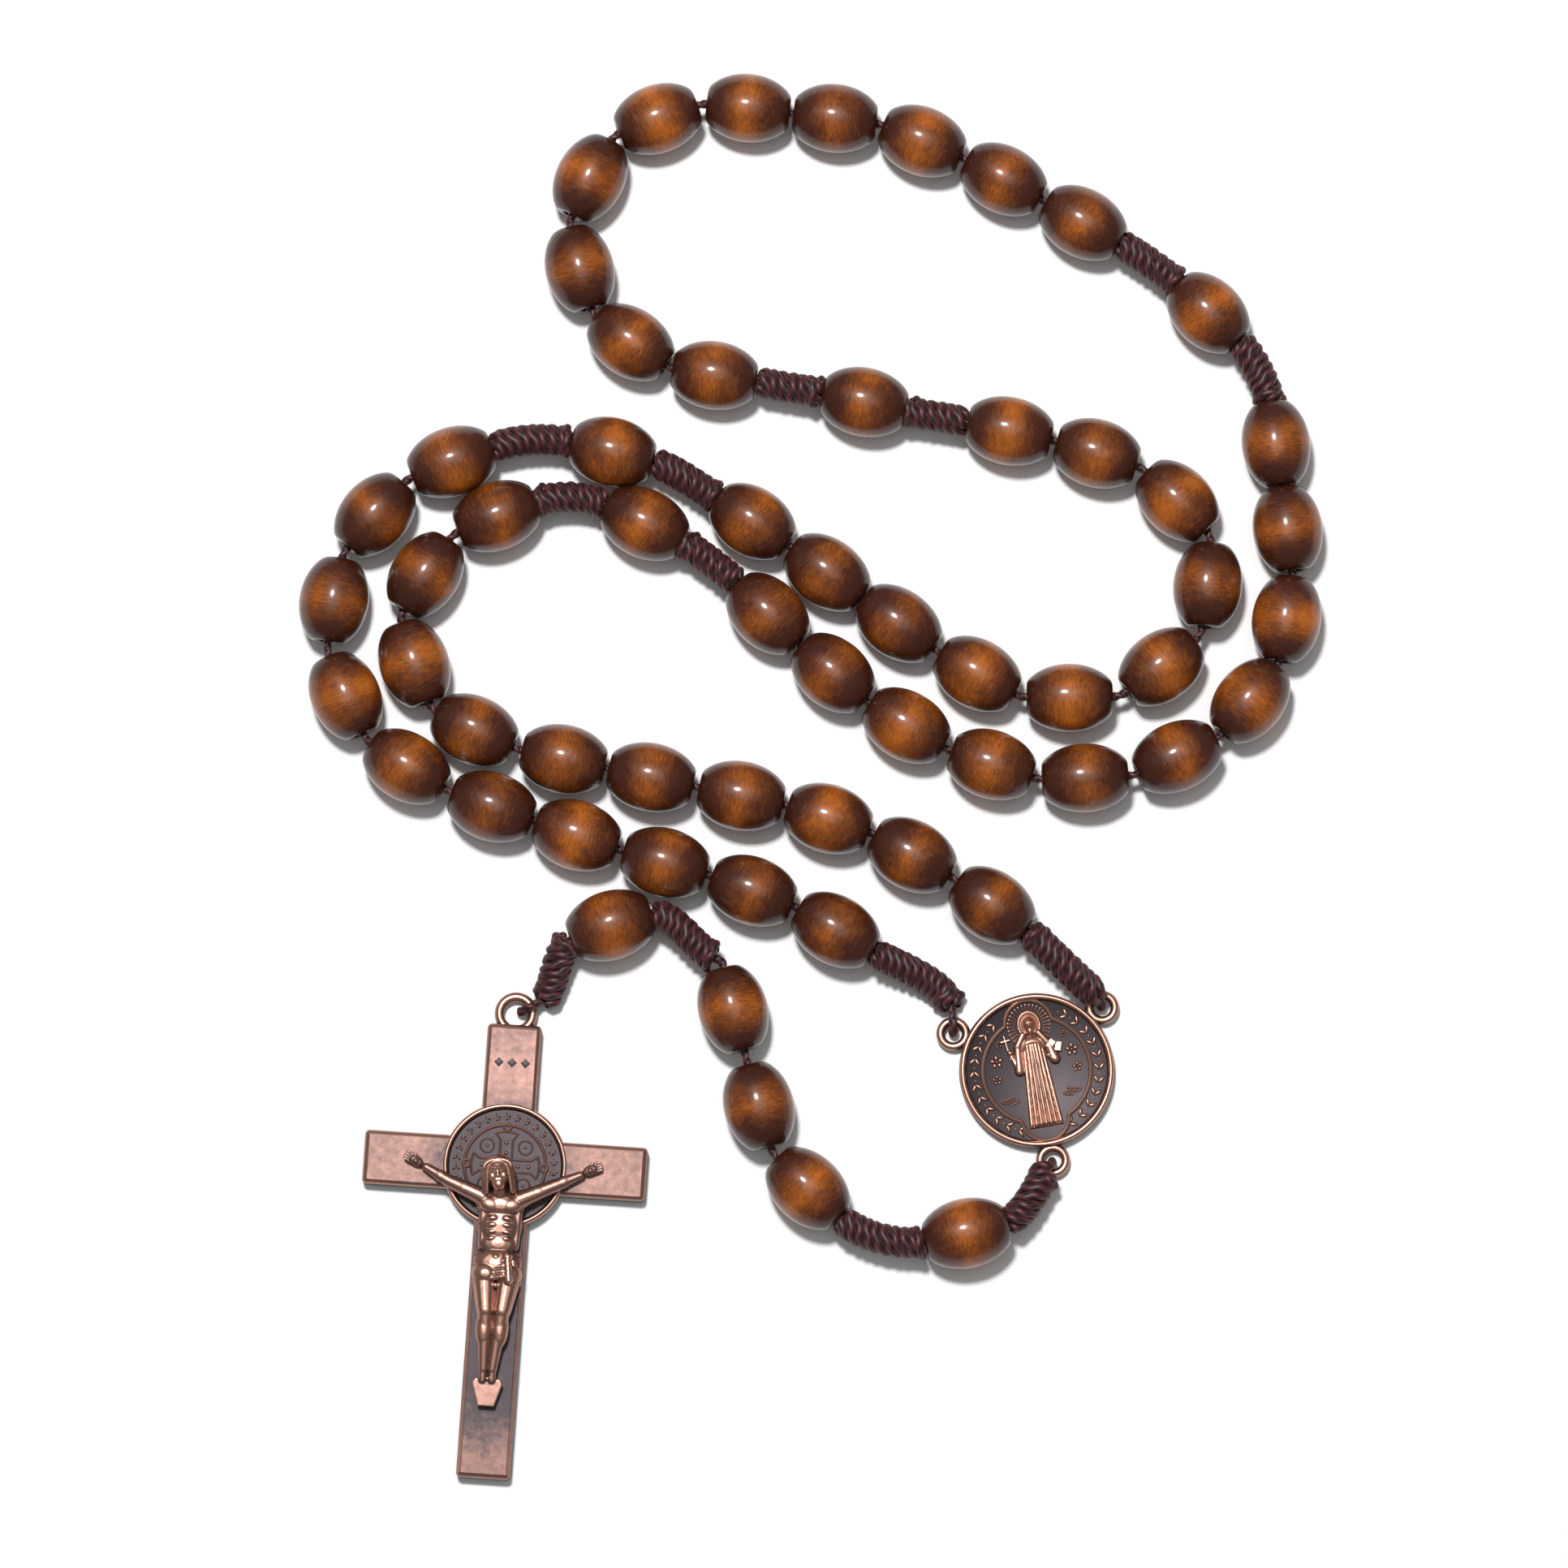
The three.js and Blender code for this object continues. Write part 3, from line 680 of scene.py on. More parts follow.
def wrap_knot(name, line, settings, material, draw):
    """A barrel knot: twisted strands wound round a stretch of the cord, and a core.
    The strands lie flat where the knot rests on the table."""
    strand = 0.5 * settings.diameter
    radius = settings.knot / 2 - strand * 0.95
    core = radius * 0.86
    line = evenly(line, KNOT_STEP)
    frames = carried_frames(line)
    bm = bmesh.new()
    wave = [draw.uniform(0.0, TURN) for _ in range(2)]

    def coil(first, last, turn_at, reach_at):
        points = []
        for i in range(first, last):
            point, (_, across, over) = line[i], frames[i]
            turn, reach = turn_at(i), reach_at(i)
            spot = point + reach * (math.cos(turn) * across + math.sin(turn) * over)
            spot.z = max(spot.z, strand)
            points.append(spot)
        lay_rope(bm, evenly(points, 0.18 * MM), strand, 3.1 * MM, turn_at(first), sides=10,
                 taper=1.2 * MM, groove=0.18)

    count = len(line)
    for start in range(KNOT_STRANDS):
        def turn_at(i, start=start):
            sway = 0.14 * math.sin(2.1 * TURN * i / count + wave[0])
            return TURN * (i * KNOT_STEP / KNOT_PITCH + start / KNOT_STRANDS) + sway

        def reach_at(i, start=start):
            share = i / (count - 1)
            wide = 1 + 0.03 * math.sin(2.3 * TURN * share + wave[1] + 1.3 * start)
            return radius * wide * min(1.0, 0.62 + 5.0 * min(share, 1 - share))

        coil(0, count, turn_at, reach_at)
    # One last wrap over the others at an end, as the strands are drawn through
    wrap = 1.3 * MM / KNOT_STEP
    begin = int(draw.choice((0.08, 0.90)) * count - wrap / 2)
    begin = max(0, min(begin, count - int(wrap) - 1))
    coil(begin, begin + int(wrap), lambda i: TURN * 1.25 * (i - begin) / wrap,
         lambda i: radius + 0.22 * MM)
    inner = [Vector((spot.x, spot.y, max(spot.z, core))) for spot in line[4:-4]]
    lay_rope(bm, inner, core, 9 * MM, sides=14, taper=1.2 * MM, groove=0.0)
    return finished(name, bm, material, smooth=None)


def eye_through(name, wire_centre, settings, material, way, lean=Vector()):
    """The cord's turn over a ring's wire and down through its hole. `way` is the direction
    along the table from the wire into the hole. Also returns the turn's first point and
    the direction from there."""
    reach = EYE_REACH + settings.diameter / 2
    points = []
    for share in (i / 14 for i in range(15)):
        turn = math.radians(125 - 150 * share)
        points.append(wire_centre + way * reach * math.cos(turn)
                      + UP * reach * math.sin(turn) + lean * (1 - share) ** 2)
    bm = bmesh.new()
    lay_rope(bm, evenly(points, 0.15 * MM), settings.diameter / 2, settings.twist)
    return (finished(name, bm, material, smooth=None),
            (points[0], (points[1] - points[0]).normalized()))


def stretch_of(line, start, end, gap_start, gap_end):
    """The part of a line between two places on it, shortened at both ends."""
    def nearest(place):
        return min(range(len(line)), key=lambda i: (line[i] - place).length)

    first, last = sorted((nearest(start), nearest(end)))
    part = evenly(line[first:last + 1], 0.1 * MM)
    return part[int(gap_start / (0.1 * MM)):len(part) - int(gap_end / (0.1 * MM))]


def medal_point(x, y, z):
    return Matrix.Rotation(MEDAL_TILT, 3, "Z") @ Vector((x * MM, y * MM, z * MM))


RING_DISTANCE = 10.65
RING_TURNS = {"right": -56, "left": 56, "bottom": 180}
RING_LEVEL = 1.1


def ring_centre(side):
    turn = math.radians(90 + RING_TURNS[side])
    return medal_point(RING_DISTANCE * math.cos(turn), RING_DISTANCE * math.sin(turn),
                       RING_LEVEL)


class ROSARY_OT_cords(bpy.types.Operator):
    """Lay the cords and wrap their knots"""

    bl_idname = "rosary.cords"
    bl_label = "Cord and knots"

    def execute(self, context):
        settings = context.scene.rosary_cord
        length = context.scene.rosary_beads.length
        material = dyed_cord_painted_crowns(settings)
        draw = random.Random(11)
        medal_up = medal_point(0, 1 / MM, 0).normalized()

        def lay(cad_node, body, beads, before, after, eyes):
            line, faces = thread(beads, length, before, after)
            line = evenly(line, 0.2 * MM)
            bm = bmesh.new()
            lay_rope(bm, line, settings.diameter / 2, settings.twist)
            rope = finished(cad_node + "_rope", bm, material, smooth=None)
            knots = []
            places = [before[0], *(place for pair in faces for place in pair), after[0]]
            spans = list(zip(places[::2], places[1::2]))
            gaps = [RING_GAP] + [KNOT_GAP] * (2 * len(spans) - 2) + [RING_GAP]
            for i, (start, end) in enumerate(spans):
                if (end - start).length >= SHORTEST_KNOT:
                    part = stretch_of(line, start, end, gaps[2 * i], gaps[2 * i + 1])
                    knots.append(wrap_knot(f"knot_{body}_{len(knots) + 1}", part, settings,
                                           material, draw))
            pieces = knots + eyes
            hand_over([rope, *pieces], body)
            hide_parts(cad_node)
            if length_of(line) >= SHORTEST_CORD:
                tuple(line[0])
                length_of(line)
                [tuple(point) for point in line]

        # The loop, from the right ring round to the left one
        (right_eye, right), (left_eye, left) = (
            eye_through(f"eye_{side}", ring_centre(side) + medal_up * 1.5 * MM, settings,
                        material, -medal_up, medal_up.cross(UP) * lean * MM)
            for side, lean in (("right", -0.5), ("left", 0.3)))
        lay("loop_cord", "loop", beads_on("loop", length), right, left,
            [right_eye, left_eye])

        # The tail, in the two pieces that the pivot parts it into
        upper, lower = beads_on("tail_upper", length), beads_on("tail_lower", length)
        place = Vector(JOINTS["tail_bend"]["pos_m"])
        pivot = (place, (lower[0].centre - place).normalized())
        bottom = ring_centre("bottom")
        out = upper[0].centre - bottom
        out.z = 0
        out = Matrix.Rotation(math.radians(20), 3, "Z") @ out.normalized()
        eye, start = eye_through("eye_bottom", bottom + out * 1.5 * MM, settings, material,
                                 -out)
        lay("tail_cord_upper", "tail_upper", upper, start, pivot, [eye])
        lift = JOINTS["crucifix_lift"]
        eye, end = eye_through("eye_crucifix", Vector(lift["pos_m"]), settings, material,
                               -Vector(lift["axis"]).cross(UP))
        lay("tail_cord_lower", "tail_lower", lower, pivot, end, [eye])
        return {"FINISHED"}


# ---- Centre medal -----------------------------------------------------------------------

TO_MEDAL = Matrix.Rotation(MEDAL_TILT, 4, "Z") @ Matrix.Scale(MM, 4)
FIELD, RIM, EDGE = 1.6, 2.2, 9.05


def tube(bm, line, radius, closed=False):
    """A thin raised line made of short rods."""
    for one, two in zip(line, line[1:] + (line[:1] if closed else [])):
        one, two = Vector(one), Vector(two)
        if (two - one).length >= 1e-6:
            rod(bm, one, two, radius, radius, 8, 1.08)


def circle_line(radius, z, steps=72, centre=(0, 0)):
    return [(centre[0] + radius * math.cos(TURN * i / steps),
             centre[1] + radius * math.sin(TURN * i / steps), z) for i in range(steps)]


def ring_torus(outer, hole, centre):
    """A round wire ring that lies flat."""
    wire_radius = (outer - hole) / 4
    middle = hole / 2 + wire_radius
    section = [(middle + wire_radius * math.cos(TURN * i / 20),
                wire_radius * math.sin(TURN * i / 20)) for i in range(20)]
    bm = spun(section, 64)
    bmesh.ops.translate(bm, vec=centre, verts=bm.verts)
    return bm


def wreath(bm, radius, z, count, length, width, gaps=()):
    """A border of small leaves in pairs along a thin stem."""
    for i in range(count):
        turn = TURN * (i + 0.5) / count
        if any(abs(math.remainder(turn - gap, TURN)) < width_of for gap, width_of in gaps):
            continue
        for side in (-1, 1):
            reach = radius + side * 0.26 * length
            place = (reach * math.cos(turn), reach * math.sin(turn), z)
            ball(bm, place, (length / 2, width / 2, 0.16), turn + math.pi / 2 - side * 0.7,
                 segments=12)
        bud = turn + math.pi / count
        ball(bm, (radius * math.cos(bud), radius * math.sin(bud), z), (0.12, 0.12, 0.14),
             segments=8)


def medal_body():
    """The struck disc with its rolled rim."""
    inside = EDGE - 0.8
    outline = [(0, 0), (EDGE - 0.35, 0), (EDGE - 0.1, 0.12), (EDGE, 0.4),
               (EDGE, RIM - 0.5), (EDGE - 0.08, RIM - 0.18), (EDGE - 0.25, RIM - 0.02),
               (EDGE - 0.42, RIM + 0.02), (inside + 0.2, RIM - 0.06),
               (inside + 0.07, RIM - 0.22), (inside, FIELD + 0.08),
               (inside - 0.15, FIELD), (0, FIELD)]
    return spun(outline, 128, closed=False)


def lobed_line(radius, lobe_at, lobe_radius):
    """A circle that swells into a round lobe at its top and at its foot."""
    points = []
    for i in range(170):
        turn = TURN * i / 170
        way = Vector((math.cos(turn), math.sin(turn)))
        reach = radius
        for side in (1, -1):
            centre = Vector((0, side * lobe_at))
            along = way.dot(centre)
            inside = along**2 - centre.length_squared + lobe_radius**2
            if inside > 0:
                reach = max(reach, along + math.sqrt(inside))
        points.append((reach * way.x, reach * way.y, FIELD + 0.08))
    return points


def medal_ornament(bm):
    """A leaf border, a lobed line, and rosettes and curls in the field."""
    tube(bm, lobed_line(6.3, 5.5, 2.8), 0.25, closed=True)
    wreath(bm, 7.3, FIELD, 30, 1.12, 0.46,
           [(math.pi / 2, 0.44), (-math.pi / 2, 0.40)])
    for side in (-1, 1):
        for place, size in (((side * 4.45, 1.75), 0.34), ((side * 4.75, -0.35), 0.26),
                            ((side * 3.85, 3.75), 0.2)):
            for k in range(5):
                turn = TURN * k / 5 + 0.3
                ball(bm, (place[0] + size * 1.45 * math.cos(turn),
                          place[1] + size * 1.45 * math.sin(turn), FIELD),
                     (size, size * 0.75, 0.17), turn, segments=12)
            ball(bm, (*place, FIELD), (size * 0.6, size * 0.6, 0.24), segments=10)
        for k in range(3):
            base = Vector((side * (3.1 + 0.55 * k), -2.6 - 0.1 * k, FIELD + 0.04))
            curl = [base + Vector((side * 0.5 * math.sin(t * 2.2), -0.28 * t, 0))
                    for t in [j / 4 for j in range(15 - 3 * k)]]
            tube(bm, curl, 0.12)
    middle = Vector((0, 5.3, FIELD))
    for k in range(25):
        turn = math.radians(-38 + 256 * k / 24)
        way = Vector((math.cos(turn), math.sin(turn), 0))
        limb(bm, middle + 1.7 * way, middle + 2.45 * way, 0.09, 0.17, 8)


def medal_figure(bm):
    """A standing robed figure with a deep hood, holding a small cross and a book."""
    def at(x, y, z=0.0):
        return Vector((x, y, FIELD + z))

    for k in range(7):
        across = (k - 3) / 3
        foot = at(across * 1.72, -6.25, 0.42 - 0.2 * across**2)
        chest = at(across, 3.0, 0.62 - 0.42 * across**2)
        limb(bm, chest, foot, 0.24, 0.27, 12)
    ball(bm, at(0, -1.6), (1.6, 5.0, 0.5), segments=28)
    ball(bm, at(0, 2.9), (1.7, 1.2, 0.62))
    block(bm, at(0, -6.45), (4.1, 0.3, 0.7), 0, 0.08)
    hood = [(1.25 * math.cos(a), 5.35 + 1.55 * math.sin(a), FIELD + 0.3)
            for a in [math.radians(-52 + 284 * k / 20) for k in range(21)]]
    tube(bm, hood, 0.2)
    ball(bm, at(0, 5.3), (1.2, 1.5, 0.45))
    ball(bm, at(0, 5.45, 0.3), (0.62, 0.85, 0.62))
    ball(bm, at(0, 4.72, 0.3), (0.4, 0.62, 0.5))
    ball(bm, at(0, 5.38, 0.9), (0.1, 0.22, 0.12), segments=10)
    for side in (-1, 1):
        ball(bm, at(side * 0.24, 5.6, 0.82), (0.18, 0.07, 0.1), segments=10)
        limb(bm, at(side * 0.95, 4.3, 0.2), at(side * 1.75, 3.1, 0.1), 0.45, 0.5)
    limb(bm, at(-1.75, 3.1, 0.05), at(-2.0, 0.2, 0.05), 0.5, 0.62)
    limb(bm, at(-2.15, 0.5, 0.1), at(-2.7, 2.3, 0.2), 0.4, 0.26)
    ball(bm, at(-2.75, 2.5, 0.3), (0.34, 0.34, 0.3))
    limb(bm, at(1.75, 3.1, 0.05), at(2.35, 1.0, 0.05), 0.5, 0.68)
    limb(bm, at(2.2, 0.9, 0.2), at(1.7, 1.5, 0.45), 0.4, 0.3)
    for place, lean in ((at(2.15, 2.75, 0.25), -0.75), (at(2.95, 2.35, 0.2), -0.3)):
        block(bm, place, (0.8, 1.15, 0.6), lean, 0.06)
    block(bm, at(-2.95, 3.1, 0.15), (0.2, 3.0, 0.5), 0.12, 0.05)
    block(bm, at(-3.05, 3.95, 0.15), (1.25, 0.2, 0.5), 0.12, 0.05)


class ROSARY_OT_medal(bpy.types.Operator):
    """Strike the centre medal"""

    bl_idname = "rosary.medal"
    bl_label = "Centre medal"

    def execute(self, context):
        settings = context.scene.rosary_metal
        copper = antique_copper(
            "medal_copper", settings, 1.65 * MM, 2.12 * MM, 0.0, 1400.0)
        relief = antique_copper("medal_relief_copper", settings, 1.5 * MM, 2.1 * MM, 0.2,
                                1400.0)
        rings = joined(*(ring_torus(4.0, 2.0, (RING_DISTANCE * math.cos(angle),
                                               RING_DISTANCE * math.sin(angle), RING_LEVEL))
                         for angle in (math.radians(90 + turn)
                                       for turn in RING_TURNS.values())))
        ornament, figure = bmesh.new(), bmesh.new()
        medal_ornament(ornament)
        medal_figure(figure)
        body = finished("medal_body", medal_body(), copper, TO_MEDAL)
        pieces = [
            body,
            finished("medal_rings", rings, antique_copper(
                "ring_copper", settings, 0.9 * MM, 1.7 * MM, 0.25, 1100.0), TO_MEDAL),
            finished("medal_ornament", ornament, relief, TO_MEDAL),
            cast("medal_figure", figure, 0.055, 1, TO_MEDAL, relief),
        ]
        hand_over(pieces, "centre_medal")
        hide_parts("centre_medal")
        return {"FINISHED"}


# ---- Crucifix ---------------------------------------------------------------------------

ARM, TOP, FOOT, SIDE = 3.15, 16.5, -36.4, 16.5
DISC, RECESS, THICK, SUNK = 7.3, 6.6, 2.6, 2.0
CROSS_RING_UP = TOP + 1.4


def cross_middle():
    mount = next(m for m in frame["record"]["mounts"] if m["name"] == "crucifix_back")
    return Vector(mount["pos_m"])


def to_cross():
    """From the crucifix's own axes in millimetres, disc's middle at the origin."""
    return (Matrix.Translation(cross_middle()) @ Matrix.Rotation(CROSS_TILT, 4, "Z")
            @ Matrix.Scale(MM, 4))


def cross_darkening(tree):
    """Darker beside the figure and the disc, lighter towards the ends of the arms."""
    own = node(tree, "Mapping", vector_type="TEXTURE", in_Location=cross_middle(),
               in_Rotation=(0, 0, CROSS_TILT), in_Scale=(MM, MM, MM))
    place = node(tree, "SeparateXYZ")
    wire(tree, (node(tree, "TexCoord").outputs["Object"], own.inputs["Vector"]),
         (own.outputs[0], place.inputs[0]))
    x, y = place.outputs["X"], place.outputs["Y"]
    near_y = sum_of(tree, "MINIMUM", sum_of(tree, "MAXIMUM", y, -25.0), 0.0)
    off_y = sum_of(tree, "SUBTRACT", y, near_y)
    away = sum_of(tree, "SQRT", sum_of(
        tree, "ADD", sum_of(tree, "MULTIPLY", x, x),
        sum_of(tree, "MULTIPLY", off_y, off_y)), 0.0)
    level_from_figure = node(tree, "MapRange", in_1=2.2, in_2=9.5, in_3=0.02, in_4=0.28)
    wire(tree, (away, level_from_figure.inputs[0]))
    return level_from_figure.outputs[0]


def cross_arm(reach, quarter):
    """One chamfered arm, from inside the disc's rim outwards."""
    inner = (DISC + RECESS) / 2
    lean = math.asin(ARM / inner)
    outline = [(inner * math.cos(a), inner * math.sin(a))
               for a in (lean * (1 - k / 6) for k in range(13))]
    outline += [(reach, -ARM), (reach, ARM)]
    spin = Matrix.Rotation(quarter * math.pi / 2, 4, "Z")
    arm = bmesh.new()
    face = arm.faces.new([arm.verts.new((x, y, 0)) for x, y in outline])
    raised = bmesh.ops.extrude_face_region(arm, geom=[face])["geom"]
    bmesh.ops.translate(arm, vec=(0, 0, THICK), verts=[
        item for item in raised if isinstance(item, bmesh.types.BMVert)])
    bmesh.ops.recalc_face_normals(arm, faces=arm.faces)

    def outside(edge):
        return max(vert.co.xy.length for vert in edge.verts) > inner + 0.1

    corners = [edge for edge in arm.edges
               if all(vert.co.x > reach - 0.01 for vert in edge.verts)
               and abs(edge.verts[0].co.z - edge.verts[1].co.z) > 1]
    bmesh.ops.bevel(arm, geom=corners, offset=0.5, affect="EDGES", segments=3, profile=0.5,
                    material=-1)
    for level, size in ((THICK, 0.55), (0, 0.25)):
        rim = [edge for edge in arm.edges if outside(edge)
               and all(abs(vert.co.z - level) < 1e-5 for vert in edge.verts)]
        bmesh.ops.bevel(arm, geom=rim, offset=size, affect="EDGES", segments=3, profile=0.5,
                        material=-1)
    bmesh.ops.transform(arm, matrix=spin, verts=arm.verts)
    return arm


def cross_body():
    """The cast cross: a disc with a rolled rim and a sunk middle, and four arms."""
    outline = [(0, 0), (DISC - 0.25, 0), (DISC, 0.25), (DISC, THICK - 0.35),
               (DISC - 0.06, THICK - 0.1), (DISC - 0.2, THICK + 0.08),
               (DISC - 0.36, THICK + 0.13), (DISC - 0.52, THICK + 0.08),
               (RECESS + 0.05, THICK - 0.12), (RECESS, SUNK + 0.06), (RECESS - 0.1, SUNK),
               (0, SUNK)]
    arms = [cross_arm(reach, quarter)
            for quarter, reach in enumerate((SIDE, TOP, SIDE, -FOOT))]
    return joined(spun(outline, 112, closed=False), *arms)


def rub_and_light_edges(mesh):
    """Flat faces keep their own normal, and rims and chamfers are marked bright: partly
    rubbed wear, partly a painted highlight.
    """
    for face in mesh.polygons:
        face.use_smooth = face.area < 4 * MM * MM and abs(face.normal.z) < 0.999
    # Rims and chamfers get a bright mark, part rubbed wear and part painted highlight
    store(mesh, "wear_and_edge_highlight", [
        0.85 if vert.co.z > (SUNK + 0.1) * MM and abs(vert.co.z - THICK * MM) > 0.02 * MM
        else 0.0 for vert in mesh.vertices])


class ROSARY_OT_crucifix(bpy.types.Operator):
    """Cast the crucifix and its figure"""

    bl_idname = "rosary.crucifix"
    bl_label = "Crucifix"

    def execute(self, context):
        settings = context.scene.rosary_metal
        place = to_cross()
        copper = antique_copper("cross_copper", settings, 2.05 * MM, 2.5 * MM, 0.0, 1100.0,
                                shade=cross_darkening)
        body = finished("cross_body", cross_body(), copper, place)
        rub_and_light_edges(body.data)
        ring = ring_torus(5.0, 2.8, (0, CROSS_RING_UP, 1.1))
        relief = antique_copper("cross_relief_copper", settings, 1.95 * MM, 2.4 * MM, -0.05,
                                1400.0)
        skin = antique_copper("figure_copper", settings, 2.9 * MM, 5.6 * MM, -0.02, 1200.0)
        sunk_mark = antique_copper("mark_copper", settings, 3 * MM, 4 * MM, -0.3, 1200.0)
        details, marks, figure = bmesh.new(), bmesh.new(), bmesh.new()
        disc_detail(details)
        for k in (-1, 0, 1):
            block(marks, (1.55 * k, 12.0, THICK), (0.8, 0.8, 0.08), math.pi / 4, 0.02)
        figure_shapes(figure)
        pieces = [
            body,
            finished("cross_ring", ring, antique_copper(
                "cross_ring_copper", settings, 0.9 * MM, 1.9 * MM, 0.25, 1100.0), place),
            finished("cross_disc_detail", details, relief, place),
            finished("cross_marks", marks, sunk_mark, place),
            cast("crucified_figure", figure, 0.08, 2, place, skin),
        ]
        hand_over(pieces, "crucifix")
        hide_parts("crucifix_cross")
        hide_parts("crucifix_figure")
        return {"FINISHED"}


def disc_detail(bm):
    """A ring line, a small cross with forked ends and plain marks on the sunk disc."""
    tube(bm, circle_line(4.75, SUNK + 0.04), 0.2, closed=True)
    for quarter in range(4):
        spin = Matrix.Rotation(quarter * math.pi / 2, 3, "Z")
        for edge in (-0.72, 0.72):
            tube(bm, [spin @ Vector(p) for p in (
                (0.72, edge, SUNK), (3.0, edge, SUNK), (3.75, edge * 1.8, SUNK + 0.02))],
                0.14)
        tube(bm, [spin @ Vector(p) for p in (
            (3.75, -1.3, SUNK), (3.95, -0.5, SUNK), (3.95, 0.5, SUNK), (3.75, 1.3, SUNK))],
            0.14)
        tip = spin @ Vector((4.55, 0, 0))
        tube(bm, circle_line(0.42, SUNK + 0.12, 20, tip), 0.16, closed=True)
        middle = Matrix.Rotation(math.pi / 4, 3, "Z") @ spin @ Vector((3.15, 0, 0))
        tube(bm, circle_line(0.8, SUNK + 0.02, 28, middle), 0.11, closed=True)
        ball(bm, (middle.x, middle.y, SUNK), (0.2, 0.2, 0.16), segments=10)
        for k in (1.5, 2.7):
            ball(bm, spin @ Vector((k, 0, SUNK)), (0.26, 0.26, 0.18), segments=10)
    wreath(bm, 5.7, SUNK, 30, 0.7, 0.28)


def figure_shapes(bm):
    """A figure with outstretched arms in the crucifix's own axes, in millimetres."""
    back = THICK + 0.3

    def at(x, y, z):
        return Vector((x, y, back + z))

    # Torso: chest, waist, belly and the lines between the ribs
    ball(bm, at(-0.1, -4.7, 0.8), (2.9, 1.7, 1.25))
    ball(bm, at(-0.05, -7.0, 0.7), (2.65, 3.1, 1.2))
    ball(bm, at(-0.05, -9.2, 0.7), (2.45, 1.8, 1.15))
    for side in (-1, 1):
        ball(bm, at(side * 1.2 - 0.1, -4.75, 1.5), (1.35, 0.95, 0.62), side * 0.2)
        for k, wide in enumerate((0.72, 0.78, 0.76, 0.66)):
            ball(bm, at(side * 0.8 - 0.05, -6.3 - 0.78 * k, 1.62 - 0.05 * k),
                 (wide, 0.33, 0.42), side * -0.1, segments=14)
        limb(bm, at(side * 2.05, -5.5, 1.0), at(side * 1.95, -9.3, 0.95), 0.5, 0.42)
    # Arms, with open palms and closed fingers
    for side, points in (
            (-1, ((-2.2, -3.9), (-6.4, -2.25), (-9.1, -0.85), (-10.3, -0.2))),
            (1, ((2.0, -4.0), (6.0, -2.05), (8.9, -0.65), (10.0, 0.0)))):
        shoulder, elbow, wrist, palm = (at(*p, z) for p, z in zip(
            points, (0.95, 0.75, 0.62, 0.5)))
        ball(bm, shoulder, (1.3, 1.05, 0.95))
        limb(bm, shoulder, elbow, 1.05, 0.74)
        ball(bm, shoulder.lerp(elbow, 0.5) + Vector((0, 0, 0.2)), (1.45, 0.86, 0.70),
             side * 0.4)
        limb(bm, elbow, wrist, 0.76, 0.50)
        ball(bm, elbow.lerp(wrist, 0.3) + Vector((0, 0, 0.12)), (1.2, 0.72, 0.58),
             side * 0.5)
        reach = (wrist - elbow).normalized()
        over = UP.cross(reach) * side
        ball(bm, palm, (0.95, 0.62, 0.4), math.atan2(reach.y, reach.x))
        for k in range(4):
            root = palm + 0.45 * reach + (0.15 - 0.3 * (k - 1)) * over
            tip = root + (1.05 - 0.12 * abs(k - 1.4)) * reach + UP * 0.16
            limb(bm, root, tip, 0.19, 0.14, 10)
        limb(bm, palm + 0.35 * over, palm + 0.7 * over + 0.6 * reach + UP * 0.15, 0.2, 0.14,
             10)
        ball(bm, palm + UP * 0.42, (0.2, 0.2, 0.16), segments=10)
    limb(bm, at(-0.2, -3.6, 1.3), at(-0.45, -2.6, 1.8), 0.8, 0.75)
    head_shapes(bm, at(-0.62, -1.1, 1.9), math.radians(8))
    # Loincloth: wrapped hips, a rolled belt, slanted folds and a hanging knot
    ball(bm, at(0.0, -11.6, 0.9), (2.85, 2.1, 1.35))
    for side in (-1, 1):
        ball(bm, at(side * 1.3, -12.8, 1.1), (1.7, 1.45, 1.45))
        limb(bm, at(side * 2.3, -10.4, 0.95), at(-0.2, -10.85, 1.85), 0.36, 0.42, 12)
        limb(bm, at(side * 2.4, -10.9, 0.7), at(side * 2.6, -13.7, 0.7), 0.42, 0.34, 12)
        limb(bm, at(0, -14.1, 1.75), at(side * 2.5, -13.7, 1.0), 0.4, 0.38, 12)
    for k in range(4):
        limb(bm, at(-2.2 + 0.1 * k, -11.8 - 0.6 * k, 1.55 + 0.08 * k),
             at(0.8 - 0.05 * k, -11.2 - 0.62 * k, 2.05 + 0.1 * k), 0.26, 0.30, 12)
    ball(bm, at(1.15, -10.75, 2.0), (0.6, 0.5, 0.5))
    limb(bm, at(1.15, -10.8, 2.1), at(1.5, -13.5, 2.4), 0.36, 0.5, 12)
    limb(bm, at(1.8, -11.2, 1.7), at(2.35, -13.4, 1.7), 0.3, 0.28, 12)
    # Legs side by side, drawn in towards the feet
    for side, knee_x, ankle_x in ((-1, -0.98, -0.78), (1, 0.94, 0.26)):
        hip, knee = at(side * 1.4, -13.2, 0.85), at(knee_x, -17.0, 1.5)
        ankle = at(ankle_x, -23.8, 1.0)
        limb(bm, hip, knee, 1.46, 1.08)
        ball(bm, hip.lerp(knee, 0.4) + Vector((0, 0, 0.15)), (1.25, 2.3, 1.1))
        ball(bm, knee + Vector((0, 0.1, 0.15)), (0.82, 0.9, 0.8))
        limb(bm, knee, ankle, 0.98, 0.6)
        ball(bm, knee.lerp(ankle, 0.3) + Vector((side * 0.08, 0, 0)), (1.05, 2.4, 0.9))
        limb(bm, ankle, ankle + Vector((side * 0.02, -1.25, -0.1)), 0.52, 0.5)
        for k in range(4):
            ball(bm, ankle + Vector((-0.36 + 0.24 * k, -1.75, -0.1)), (0.14, 0.25, 0.22),
                 segments=10)
    limb(bm, at(0, -13.5, 0.2), at(-0.25, -24.0, 0.2), 1.0, 0.5)
